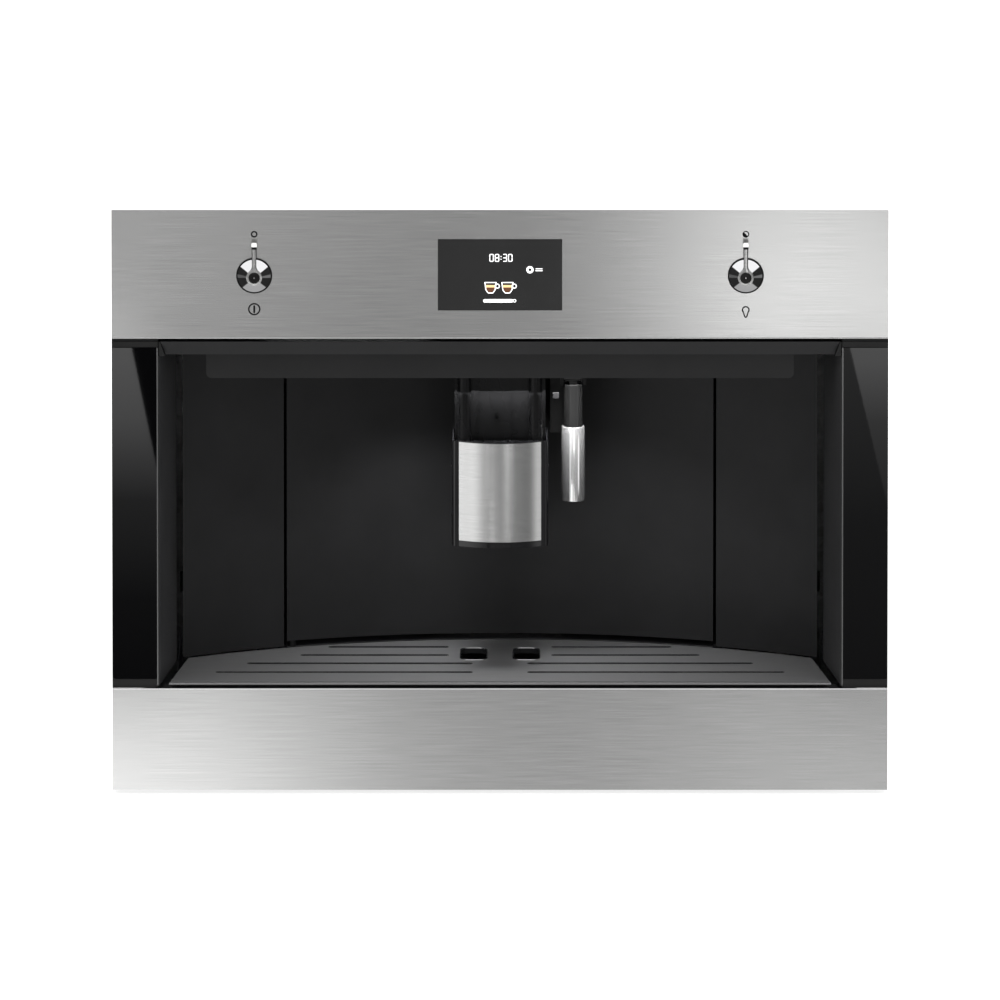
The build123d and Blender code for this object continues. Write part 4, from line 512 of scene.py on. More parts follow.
def clear_moulding(name, colour):
    """Clear tinted plastic of a tank: mostly see-through, with a soft moulding haze."""
    finish = Finish(name, colour, roughness=0.12)
    haze = finish.noise(finish.place((35.0, 35.0, 35.0)), 1.0, 3.0)
    finish.tint(colour, haze, 0.9, 1.05)
    finish.wear(haze, 0.08, 0.2)
    finish.set("Transmission Weight", 0.75)
    finish.set("IOR", 1.47)
    return finish.material


def circuit_board(name, colour):
    """Coated circuit board: lighter copper tracks under green lacquer."""
    finish = Finish(name, colour, roughness=0.35)
    tracks = finish.node("ShaderNodeTexBrick")
    tracks.inputs["Scale"].default_value = 60.0
    tracks.inputs["Mortar Size"].default_value = 0.06
    tracks.inputs["Color1"].default_value = (*colour, 1.0)
    tracks.inputs["Color2"].default_value = (colour[0] * 0.8, colour[1] * 0.85, colour[2] * 0.8, 1.0)
    tracks.inputs["Mortar"].default_value = (colour[0] * 2.4, colour[1] * 1.7, colour[2] * 2.0, 1.0)
    finish.link(finish.place(), tracks.inputs["Vector"])
    finish.link(tracks.outputs["Color"], finish.shader.inputs["Base Color"])
    finish.wear(finish.noise(finish.place((90.0, 90.0, 90.0))), 0.28, 0.45)
    finish.relief(tracks.outputs["Fac"], 0.03 * mm, 0.4)
    return finish.material


def lit_symbol(name, colour, strength):
    """A lit symbol behind the display glass, a little uneven like a backlight."""
    finish = Finish(name, colour, roughness=0.4)
    patch = finish.noise(finish.place((400.0, 400.0, 400.0)), 1.0, 2.0)
    finish.tint(colour, patch, 0.93, 1.0)
    finish.set("Emission Color", (*colour, 1.0))
    finish.set("Emission Strength", strength)
    return finish.material


def satin_paint(name, colour, roughness, shine, height=0.01):
    """Satin black paint over a coarse, low grain."""
    return moulded_plastic(name, colour, roughness, 900.0, height, shine)


def slot_finishes(sizes, colours):
    """Every material slot of the record with its finish."""
    return {
        "brushed_steel": brushed_steel("brushed steel", colours.steel, sizes, 0.2, 0.08),
        "steel_sheet": galvanised_sheet("zinc coated sheet", (0.6, 0.61, 0.62)),
        "rail_steel": brushed_steel("rail steel", (0.55, 0.56, 0.57), sizes, 0.34, 0.05),
        "black_glass": gloss_surface("black glass", colours.glass, 0.015),
        "chrome": polished_metal("polished chrome", colours.chrome),
        "black_plastic": moulded_plastic("matt black plastic", colours.plastic),
        "gloss_black": gloss_surface("glossy black plastic", colours.gloss, 0.16),
        "niche_black": satin_paint("satin black panels", colours.satin, 0.36, 0.15),
        "display": gloss_surface("display glass", colours.screen, 0.12),
        "clear_plastic": clear_moulding("clear tank plastic", (0.75, 0.82, 0.85)),
        "lamp": moulded_plastic("frosted lens", (0.82, 0.82, 0.78), 0.45, 700.0, 0.02),
        "white_plastic": moulded_plastic("white plastic", (0.8, 0.8, 0.78), 0.4),
        "board": circuit_board("circuit board", (0.02, 0.13, 0.05)),
        "boiler_steel": brushed_steel("boiler steel", (0.58, 0.56, 0.53), sizes, 0.36, 0.06, "X"),
        "silicone": moulded_plastic("silicone hose", (0.62, 0.62, 0.6), 0.55, 500.0, 0.02),
    }


def node_finishes(sizes):
    """The nodes whose finish differs from that of the rest of their slot."""
    # The niche walls get a lighter copy of the panels' satin black: painted light that the side walls catch.
    wall = satin_paint("niche wall black painted lighter", (0.03, 0.03, 0.031), 0.4, 0.15)
    return {
        "tray_cover": brushed_steel("tray cover steel", (0.15, 0.15, 0.152), sizes, 0.38, 0.04, "Y", 0.3),
        "spout_plate": brushed_steel("spout steel", (0.68, 0.68, 0.675), sizes, 0.2, 0.12, share=0.4),
        "spout_carrier": gloss_surface("carrier black", (0.004, 0.004, 0.0042), 0.22, 0.16),
        "spout_head": gloss_surface("spout head black", (0.005, 0.005, 0.0055), 0.1, 0.5),
        "niche_wall_left": wall,
        "niche_wall_right": wall,
        "soffit": satin_paint("soffit black", (0.0085, 0.0085, 0.0088), 0.4, 0.3),
        "niche_lip": satin_paint("lip black", (0.0105, 0.0105, 0.011), 0.36, 0.35),
        "niche_trims": brushed_steel("trim steel", (0.21, 0.21, 0.21), sizes, 0.3, 0.04, "X"),
        "wand_bracket": gloss_surface("bracket black", (0.003, 0.003, 0.003), 0.3, 0.2),
        "door_hinge_pins": gloss_surface("pin black", (0.004, 0.004, 0.004), 0.3, 0.3),
        "wand_grip": satin_paint("satin grip", (0.005, 0.005, 0.005), 0.22, 0.5, 0.008),
        "corner_blocks": satin_paint("corner block black", (0.0075, 0.0075, 0.0075), 0.4, 0.25),
    }


def finish_of(slot):
    """The finish already made for a slot; making the pieces before the finishes is an error."""
    name = bpy.context.scene.get("finish_" + slot)
    if name is None:
        raise RuntimeError("the finishes come first: " + slot)
    return bpy.data.materials[name]


class CoffeeMachineOperator:
    """What the operators share: they run in the scene and can be undone."""

    bl_options = {"REGISTER", "UNDO"}


class COFFEE_OT_finishes(CoffeeMachineOperator, Operator):
    """Give every CAD node the procedural finish of its material slot, or its own"""

    bl_idname = "coffee.finishes"
    bl_label = "Finishes"

    def execute(self, context):
        scene = context.scene
        by_slot = slot_finishes(scene.coffee_sizes, scene.coffee_colours)
        by_node = node_finishes(scene.coffee_sizes)
        for slot, material in by_slot.items():
            scene["finish_" + slot] = material.name
        for name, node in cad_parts.items():
            for place in node.material_slots:
                slot = place.material.name.split(".")[0]
                if slot not in by_slot:
                    raise RuntimeError(f"{name} has an unknown material slot {slot}")
                place.material = by_node.get(name, by_slot[slot])
        return {"FINISHED"}


# ---------------------------------------------------------------- levers
collar_radius = (collar_high.z - collar_low.z) / 2
lever_z = (collar_high.z + collar_low.z) / 2
lever_x = collar_high.x - collar_radius
toward_viewer = (0.0, -1.0, 0.0)
lever_thickness, tip_height, band_height = 2.4 * mm, 3.2 * mm, 1.8 * mm
arm_half, tip_half, band_half = 1.25 * mm, 2.1 * mm, 2.0 * mm


def collar_profile(bore, foot, foot_height, neck, height):
    """Distance from the axis against height of the collar: a short foot and a cone up to its neck."""
    corners = [
        (bore, 0.0),
        (foot, 0.0),
        (foot, foot_height),
        (neck, height - 0.5 * mm),
        (neck - 0.1 * mm, height),
        (bore, height),
    ]
    return softened(corners, [0.0, 0.0, 0.3 * mm, 0.2 * mm, 0.1 * mm, 0.0], steps=5)


def band_profile(inner, outer, depth, edge_round):
    """Distance from the axis against height of a narrow upright band with a rounded crown."""
    corners = [(inner, 0.0), (outer, 0.0), (outer, depth), (inner, depth)]
    return softened(corners, [0.0, 0.0, edge_round, edge_round], steps=5, closed=True)


def keyhole(centre, ring_radius, half_width, arm_end, blend):
    """Outline of a round plate with a straight arm upwards; arcs of the blend radius join the two."""
    x, z = centre
    fillet_x = half_width + blend
    fillet_z = np.sqrt((ring_radius + blend) ** 2 - fillet_x**2)
    meet = np.degrees(np.arctan2(fillet_z, fillet_x))
    body = arc((x, z), ring_radius, 180 - meet, 360 + meet, 72)
    right = arc((x + fillet_x, z + fillet_z), blend, 180 + meet, 180, 10)
    left = arc((x - fillet_x, z + fillet_z), blend, 0, -meet, 10)
    top = np.array([[x + half_width, z + arm_end], [x - half_width, z + arm_end]])
    return np.concatenate([body, right[1:], top, left[:-1]])


def collar_shapes(sizes):
    """The cones of both collars and their black bands, turned about Y; the bands are painted shadow rings."""
    height, foot_height = front_y - collar_low.y, 1.4 * mm
    foot, bore, neck = collar_radius - sizes.rim_shadow_width, 5.1 * mm, 5.75 * mm
    cone_profile = collar_profile(bore, foot - 0.02 * mm, foot_height, neck, height)
    # The rim band is black to stand in for the shadow round the collar: painted shade.
    rim_shadow_profile = band_profile(foot, collar_radius, foot_height, sizes.rim_round)
    return [
        [
            turned(profile, (side * lever_x, front_y, lever_z), toward_viewer, sizes.round_steps, closed=True)
            for side in (-1, 1)
        ]
        for profile in (cone_profile, rim_shadow_profile)
    ]


def lever_halves(x, arm_end, front, edge_round):
    """The keyhole plate in two halves: steel with a rounded edge, and behind it black and a little wider, a
    dark outline of painted shade round the steel.
    """
    ring_radius, blend, shadow_margin, half = 6.2 * mm, 5.0 * mm, 0.45 * mm, lever_thickness / 2
    outlines = [keyhole((x, lever_z), ring_radius, arm_half + grow, arm_end, blend) for grow in (0.0, shadow_margin)]
    return flat_outline(outlines[0], front, half, edge_round), flat_outline(outlines[1], front + half, half)


def lever_hub(x, plate_back, shaft_end, steps):
    """The hub behind the plate and the shaft in it, turned about Y; heights are taken from the front."""
    shaft, neck, hub, gap = 2.0 * mm, 3.0 * mm, 4.6 * mm, 0.5 * mm
    overlap = 0.05 * mm
    corners = [
        (shaft, plate_back + overlap),
        (hub, plate_back + overlap),
        (hub, gap),
        (neck, gap),
        (neck, shaft_end + 0.5 * mm),
        (shaft, shaft_end),
    ]
    profile = softened(corners, [0, 0, 0.4 * mm, 0, 0.3 * mm, 0])
    return turned(profile, (x, front_y, lever_z), toward_viewer, steps)


def lever_cap(x, front, steps):
    """The cap on the plate's middle, turned about Y: a low dome with a dimple."""
    radius, crown, dimple, centre = 4.4 * mm, 3.2 * mm, 1.3 * mm, 0.35 * mm
    corners = [
        (centre, -2.0 * mm),
        (radius, -2.0 * mm),
        (radius, -0.45 * mm),
        (crown, 0.0),
        (dimple, -0.05 * mm),
        (centre, -0.9 * mm),
    ]
    profile = softened(corners, [0, 0, 0.3 * mm, 0.8 * mm, 0.3 * mm, 0])
    return turned(profile, (x, front, lever_z), toward_viewer, steps)


class COFFEE_OT_levers(CoffeeMachineOperator, Operator):
    """Build the two lever collars, the keyhole levers and their caps"""

    bl_idname = "coffee.levers"
    bl_label = "Collars and levers"

    def execute(self, context):
        sizes = context.scene.coffee_sizes
        half_steps = sizes.round_steps // 2
        chrome, steel, white = (finish_of(slot) for slot in ("chrome", "brushed_steel", "white_plastic"))
        # One black for the caps and tip bands, and for the collar bands and plate backings, which are painted
        # shade.
        black_and_painted_shade = gloss_surface("lever black and painted shade", (0.003, 0.003, 0.003), 0.3, 0.25)
        cones, rim_shadows = collar_shapes(sizes)
        collars = make_piece("lever_collar_pair", [(cones, chrome), (rim_shadows, black_and_painted_shade)], "machine")
        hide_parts("lever_collars")

        for side, node, body in ((-1, "power_lever", "power_switch"), (1, "light_lever", "light_switch")):
            low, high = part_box(node)
            cap_low, cap_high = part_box(node + "_cap")
            x, top, front = side * lever_x, cap_high.z, low.y
            band_low = top - (tip_height + band_height)
            arm_end = top - lever_z - (tip_height + band_height) + 0.1 * mm
            # The black back half shows round the steel plate as painted shade along its edges.
            plate, backing = lever_halves(x, arm_end, front, sizes.plate_round)
            hub = lever_hub(x, front_y - front - lever_thickness, front_y - high.y, half_steps)
            band = flat_outline(
                rounded_rectangle(x - band_half, x + band_half, band_low, top - tip_height, [0.3 * mm] * 4),
                front,
                lever_thickness - 0.1 * mm,
                0.2 * mm,
            )
            finished = [([plate, hub], steel), ([backing, band], black_and_painted_shade)]
            lever = make_piece(node + "_plate", finished, body)
            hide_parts(node)

            cap = lever_cap(x, cap_low.y, half_steps)
            tip_radii = [0.3 * mm, 0.3 * mm, 1.0 * mm, 1.0 * mm]
            tip = flat_outline(
                rounded_rectangle(x - tip_half, x + tip_half, top - tip_height, top, tip_radii),
                front,
                lever_thickness,
                0.35 * mm,
            )
            finished = [([cap], black_and_painted_shade), ([tip], white)]
            capped = make_piece(node + "_cap_and_tip", finished, body)
            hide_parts(node + "_cap")
        return {"FINISHED"}


# ---------------------------------------------------------------- display and marks
clock_time = "0830"
# The bars of each number, named clockwise from the top one, with the middle one last.
segments = {
    "0": "abcdef",
    "1": "bc",
    "2": "abged",
    "3": "abgcd",
    "4": "fgbc",
    "5": "afgcd",
    "6": "afgedc",
    "7": "abc",
    "8": "abcdefg",
    "9": "abcdfg",
}


def digit(character, left, low, height, front, thickness):
    """A seven-segment number: bars along the sides and middle of a box twice as high as wide."""
    width, half, line = height / 2, height / 2, height * 0.13
    gap = line * 0.62
    right, middle, top = left + width, low + half, low + height
    places = {
        "a": ((left + gap, top), (right - gap, top)),
        "b": ((right, middle + gap), (right, top - gap)),
        "c": ((right, low + gap), (right, middle - gap)),
        "d": ((left + gap, low), (right - gap, low)),
        "e": ((left, low + gap), (left, middle - gap)),
        "f": ((left, middle + gap), (left, top - gap)),
        "g": ((left + gap, middle), (right - gap, middle)),
    }
    return [bar(*places[name], line, front, thickness) for name in segments[character]]


def drink_symbol(centre_x, low, width, height, front, thickness):
    """A drink's symbol: a bowl outline with a ring beside it, a filled part and a lighter band.

    Its points are given as shares: of half the width from the middle, and of the height.
    """
    half, line = width / 2, height * 0.09

    def at(*shares):
        return [(centre_x + half * across, low + height * up) for across, up in shares]

    bowl_radii = [0, height * 0.2, height * 0.1, height * 0.1, height * 0.2, 0]
    bowl = softened(at((-1, 1), (-0.82, 0.3), (-0.4, 0), (0.4, 0), (0.82, 0.3), (1, 1)), bowl_radii)
    outline = stroke(bowl, line, front, thickness)
    rim = bar(*at((-1, 1), (1, 1)), line, front, thickness)
    side_ring = ring(*at((1.22, 0.66)), height * 0.24, height * 0.15, front, thickness, 32)
    filled = at((-0.36, 0.1), (0.36, 0.1), (0.7, 0.36), (0.74, 0.5), (-0.74, 0.5), (-0.7, 0.36))
    drink = flat_outline(softened(filled, [height * 0.05] * 6, closed=True), front, thickness)
    foam = flat_outline(at((-0.76, 0.53), (0.76, 0.53), (0.82, 0.76), (-0.82, 0.76)), front, thickness)
    return [outline, rim, side_ring], [drink], [foam]


class COFFEE_OT_display(CoffeeMachineOperator, Operator):
    """Build the plain picture on the display: a clock time, two drink symbols, bars and rings"""

    bl_idname = "coffee.display"
    bl_label = "Display picture"

    def execute(self, context):
        sizes, colours = context.scene.coffee_sizes, context.scene.coffee_colours
        thickness, height = sizes.print_thickness, sizes.digit_height
        front = display_low.y - thickness
        middle_z = (display_low.z + display_high.z) / 2
        white = lit_symbol("lit white", colours.light, 0.75)
        brown = lit_symbol("lit coffee", colours.coffee, 0.6)
        cream = lit_symbol("lit foam", colours.foam, 0.7)

        symbols, drinks, foams = [], [], []
        pitch, clock_low = height * 0.78, middle_z + 10.6 * mm
        start = -1.86 * pitch
        # Two numbers, a gap for the dots and two more, placed in pitches of one number.
        for character, place in zip(clock_time, (0.0, 1.0, 2.42, 3.42)):
            symbols += digit(character, start + place * pitch, clock_low, height, front, thickness)
        for share in (0.3, 0.7):
            dot = (start + 2.05 * pitch, clock_low + share * height)
            symbols.append(disc(dot, 0.42 * mm, front, thickness, 20))

        drink_low, drink_width, drink_height = middle_z - 14.2 * mm, 8.6 * mm, 8.2 * mm
        for drink_x in (-7.3 * mm, 5.7 * mm):
            lines, drink, foam = drink_symbol(drink_x, drink_low, drink_width, drink_height, front, thickness)
            symbols += lines
            drinks += drink
            foams += foam

        bar_z, side_x, side_z = middle_z - 20.3 * mm, 23.0 * mm, middle_z + 4.0 * mm
        symbols.append(bar((-11.7 * mm, bar_z), (9.0 * mm, bar_z), 2.6 * mm, front, thickness, 16))
        symbols.append(ring((11.2 * mm, bar_z), 1.3 * mm, 0.75 * mm, front, thickness, 32))
        symbols.append(ring((side_x, side_z), 2.8 * mm, 1.2 * mm, front, thickness))
        for row in (0.75 * mm, -0.75 * mm):
            line_start, line_end = (side_x + 4.6 * mm, side_z + row), (side_x + 9.4 * mm, side_z + row)
            symbols.append(bar(line_start, line_end, 0.7 * mm, front, thickness))
        finished = [(symbols, white), (drinks, brown), (foams, cream)]
        make_piece("display_symbols", finished, "machine")
        return {"FINISHED"}


class COFFEE_OT_marks(CoffeeMachineOperator, Operator):
    """Print the plain switch marks on the control fascia"""

    bl_idname = "coffee.marks"
    bl_label = "Fascia marks"

    def execute(self, context):
        sizes, colours = context.scene.coffee_sizes, context.scene.coffee_colours
        ink = moulded_plastic("printed marks", colours.print_ink, 0.6, 2500.0, 0.005, 0.1)
        thickness, line = sizes.print_thickness, sizes.mark_stroke
        front = front_y - thickness
        upper, lower = lever_z + 32.3 * mm, lever_z - 26.3 * mm
        left, right = -lever_x, lever_x
        small, large, half_stem = 2.6 * mm, 4.8 * mm, 2.3 * mm
        marks = [
            ring((left, upper), small, small - line, front, thickness),
            ring((left, lower), large, large - line, front, thickness, 64),
            bar((left, lower - half_stem), (left, lower + half_stem), 1.5 * mm, front, thickness),
            ring((right, upper), small, small - line * 0.7, front, thickness),
            flat_outline(arc((right, upper), 2.2 * mm, 135, 315, 32), front, thickness),
        ]
        globe = arc((right, lower - 0.6 * mm), 2.5 * mm, -40, 220, 40)
        socket = arc((right, lower - 5.4 * mm), 0.9 * mm, 180, 360, 12)
        bulb = np.concatenate([globe, socket])
        marks.append(stroke(bulb, line * 0.9, front, thickness, closed=True))
        make_piece("fascia_marks", [(marks, ink)], "machine")
        return {"FINISHED"}


# ---------------------------------------------------------------- spout, wand and tray
class COFFEE_OT_wand(CoffeeMachineOperator, Operator):
    """Build the polished sleeve of the steam wand as a turned surface, and the pad on its bracket"""

    bl_idname = "coffee.wand"
    bl_label = "Steam wand"

    def execute(self, context):
        steps = context.scene.coffee_sizes.round_steps
        centre = ((sleeve_low.x + sleeve_high.x) / 2, (sleeve_low.y + sleeve_high.y) / 2, 0.0)
        up = (0.0, 0.0, 1.0)
        radius, low, high = (sleeve_high.x - sleeve_low.x) / 2, sleeve_low.z, sleeve_high.z
        mouth, bore, end_wall = 4.3 * mm, radius - 1.1 * mm, 1.6 * mm
        corners = [
            (mouth, low + end_wall),
            (mouth, low),
            (radius, low),
            (radius, high),
            (bore, high),
            (bore, low + end_wall),
        ]
        outline = softened(corners, [0, 0.3 * mm, 0.8 * mm, 0.7 * mm, 0.25 * mm, 0], steps=6)
        shell = turned(outline, centre, up, steps, closed=True)
        satin = polished_metal("satin chrome", (0.93, 0.93, 0.93), 0.08, 0.9, 0.02)
        sleeve = make_piece("wand_sleeve_shell", [([shell], satin)], "sleeve")
        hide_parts("wand_sleeve")

        pad_x, pad_z, pad_half = 43.1 * mm, 293.0 * mm, 2.4 * mm
        proud, thickness = 0.4 * mm, 0.6 * mm
        pad_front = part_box("wand_bracket")[0].y - proud
        square = rounded_rectangle(
            pad_x - pad_half, pad_x + pad_half, pad_z - pad_half, pad_z + pad_half, [0.5 * mm] * 4
        )
        pad = flat_outline(square, pad_front, thickness, 0.2 * mm)
        grey = moulded_plastic("grey pad", (0.012, 0.012, 0.0125), 0.5)
        make_piece("bracket_pad", [([pad], grey)], "door")
        return {"FINISHED"}


class COFFEE_OT_edges(CoffeeMachineOperator, Operator):
    """Build the bright rolled edges of the two fascias and of the tray cover"""

    bl_idname = "coffee.edges"
    bl_label = "Rolled edges"

    def execute(self, context):
        roll = context.scene.coffee_sizes.edge_roll
        sunk = roll - 0.1 * mm
        half = front_high.x - 0.1 * mm
        upper_z, lower_z = front_low.z + 0.5 * mm, drawer_high.z - roll + 0.3 * mm
        lip_z = cover_high.z - roll + 0.2 * mm
        upper = rolled_edge(half, front_y + sunk, upper_z, roll)
        make_piece("upper_rolled_edge", [([upper], finish_of("brushed_steel"))], "machine")
        lower = rolled_edge(half, front_y + sunk, lower_z, roll)
        lip = rolled_edge(cover_high.x - 0.2 * mm, cover_low.y + roll, lip_z, roll)
        make_piece("drawer_rolled_edges", [([lip, lower], finish_of("chrome"))], "drawer")
        return {"FINISHED"}


class COFFEE_OT_tray(CoffeeMachineOperator, Operator):
    """Build the light edges of the slots and finger openings in the tray cover, and black linings of painted
    shade inside them
    """

    bl_idname = "coffee.tray"
    bl_label = "Tray cover edges"

    def execute(self, context):
        sizes = context.scene.coffee_sizes
        top, wall, edge = cover_high.z, sizes.slot_shade_wall, sizes.slot_bead
        slot_half, finger_round, depth_down = 2.5 * mm, 7.0 * mm, 4.0 * mm
        # Each row of slots: how far behind the front, and from where to where on either side of the middle.
        rows = ((46.2, 21.5, 219.0), (80.0, 21.5, 195.1), (111.7, 40.0, 154.0), (143.0, 40.0, 132.6))
        finger_inner, finger_outer, finger_near, finger_far = 10.3 * mm, 30.3 * mm, 93.3 * mm, 138.5 * mm
        slots, fingers = [], []
        for side in (-1, 1):
            for depth, inner, outer in rows:
                y = front_y + depth * mm
                x0, x1 = sorted((side * inner * mm, side * outer * mm))
                right_end = arc((x1 - slot_half, y), slot_half, -90, 90, 14)
                left_end = arc((x0 + slot_half, y), slot_half, 90, 270, 14)
                slots.append(np.concatenate([right_end, left_end]))
            x0, x1 = sorted((side * finger_inner, side * finger_outer))
            y0, y1 = front_y + finger_near, front_y + finger_far
            fingers.append(rounded_rectangle(x0, x1, y0, y1, [finger_round] * 4, steps=10))
        proud, chamfer = 0.02 * mm, 0.05 * mm
        # The black linings are painted shade: they darken the inside of each slot and finger opening.
        shade_lining = [(-wall, top - depth_down), (proud, top - depth_down), (proud, top - chamfer), (-wall, top)]
        angle = np.linspace(0, np.pi, 7)

        def crown(width, height):
            """A low half-round section: an arch of the given width and height over a flat foot."""
            arch = np.stack([width / 2 + width / 2 * np.cos(angle), top + height * np.sin(angle)], axis=-1)
            return np.concatenate([[(0.0, top - 0.1 * mm), (width, top - 0.1 * mm)], arch])

        shade_linings = [edging(path, shade_lining) for path in slots + fingers]
        crowns = [edging(path, crown(edge, 0.08 * mm)) for path in slots]
        crowns += [edging(path, crown(1.6 * edge, 0.5 * mm)) for path in fingers]
        finished = [(shade_linings, finish_of("gloss_black")), (crowns, finish_of("chrome"))]
        make_piece("slot_edges", finished, "drawer")
        return {"FINISHED"}


# ---------------------------------------------------------------- stage
def area_light(name, place, target, width, height, power):
    """A soft rectangular light at a place, turned to a target; the camera doesn't see it."""
    data = bpy.data.lights.new(name, "AREA")
    data.shape = "RECTANGLE"
    data.size, data.size_y = width, height
    data.energy = power
    lamp = bpy.data.objects.new(name, data)
    lamp.location = place
    lamp.rotation_mode = "QUATERNION"
    lamp.rotation_quaternion = (Vector(target) - Vector(place)).to_track_quat("-Z", "Y")
    lamp.visible_camera = False
    lamp.visible_glossy = False
    bpy.context.scene.collection.objects.link(lamp)
    return lamp


def studio_card(name, outline, distance, along, stops):
    """A flat card facing the machine, seen only in reflections; its glow changes along one axis.

    Its outline is given in X and Z where the front mirrors it for the camera. A line from the camera to
    that point, mirrored there, is followed to the card: point + (point - camera) * distance / reach.
    Stops are (share of the way, glow).
    """
    share = distance / (front_y - camera_place.y)
    outline = np.array(outline)
    flat = outline + (outline - (camera_place.x, camera_place.z)) * share
    points = np.stack([flat[:, 0], np.full(len(flat), front_y - distance), flat[:, 1]], axis=-1)
    mesh = bpy.data.meshes.new(name)
    mesh.from_pydata(points.tolist(), [], [tuple(range(len(points)))])
    brightest = 3.0
    finish = Finish(name, (0.0, 0.0, 0.0), roughness=1.0)
    finish.set("Specular IOR Level", 0.0)
    split = finish.node("ShaderNodeSeparateXYZ")
    finish.link(finish.place(), split.inputs["Vector"])
    values = points[:, "XYZ".index(along)]
    way = finish.spread(split.outputs[along], 0.0, 1.0, values.min(), values.max())
    glow = [(place, (value / brightest,) * 3) for place, value in stops]
    finish.link(finish.shades(way, glow), finish.shader.inputs["Emission Color"])
    finish.set("Emission Strength", brightest)
    mesh.materials.append(finish.material)
    card = bpy.data.objects.new(name, mesh)
    bpy.context.scene.collection.objects.link(card)
    card.visible_camera = False
    card.visible_diffuse = False
    card.visible_shadow = False
    card.visible_transmission = False
    return card


class COFFEE_OT_cards(CoffeeMachineOperator, Operator):
    """Stand up the studio cards that are mirrored in the steel front and in the black glass"""

    bl_idname = "coffee.cards"
    bl_label = "Studio cards"

    def execute(self, context):
        far, half = 1.2, 0.408
        upper_left = [(0.0, 0.45), (0.14, 0.54), (0.228, 0.54), (0.372, 0.38), (0.5, 0.34), (0.575, 0.36)]
        for name, low, high, upper_right in (
            ("card_upper_front_high", 0.3967, 0.62, [(0.666, 0.72), (0.765, 1.1), (0.85, 0.85), (1.0, 0.6)]),
            ("card_upper_front_low", 0.318, 0.3967, [(0.666, 1.3), (0.765, 3.0), (0.878, 2.4), (1.0, 1.6)]),
        ):
            studio_card(name, rectangle(-half, half, low, high), far, "X", upper_left + upper_right)
        lower_left = [(0.0, 1.95), (0.142, 1.92), (0.228, 1.6), (0.327, 0.98), (0.425, 0.61)]
        lower_right = [(0.515, 0.5), (0.613, 0.51), (0.727, 0.76), (0.878, 0.82), (1.0, 0.7)]
        lower = rectangle(-half, half, -0.23, 0.09)
        studio_card("card_lower_front", lower, far, "X", lower_left + lower_right)
        near, low, high = 0.9, 0.075, 0.353
        outer, inner = 0.334, 0.251
        for side, glow in ((-1, [(0.0, 0.0), (1.0, 0.03)]), (1, [(0.0, 0.12), (0.5, 0.2), (1.0, 0.5)])):
            studio_card(
                f"card_backing_{'left' if side < 0 else 'right'}",
                rectangle(side * inner, side * outer, low, high),
                near + 0.01,
                "Z",
                glow,
            )
        studio_card(
            "card_left_glass",
            [(-outer, high), (-0.2836, high), (-inner, 0.1915), (-inner, low), (-outer, low)],
            near,
            "Z",
            [(0.0, 0.05), (0.28, 0.1), (0.56, 0.34), (0.68, 0.85), (0.79, 1.42), (0.95, 1.9), (1.0, 1.95)],
        )
        studio_card(
            "card_right_glass",
            [(0.2684, high), (outer, high), (outer, low)],
            near,
            "Z",
            [(0.0, 0.12), (0.5, 0.3), (0.78, 0.77), (0.95, 1.72), (1.0, 1.8)],
        )
        return {"FINISHED"}


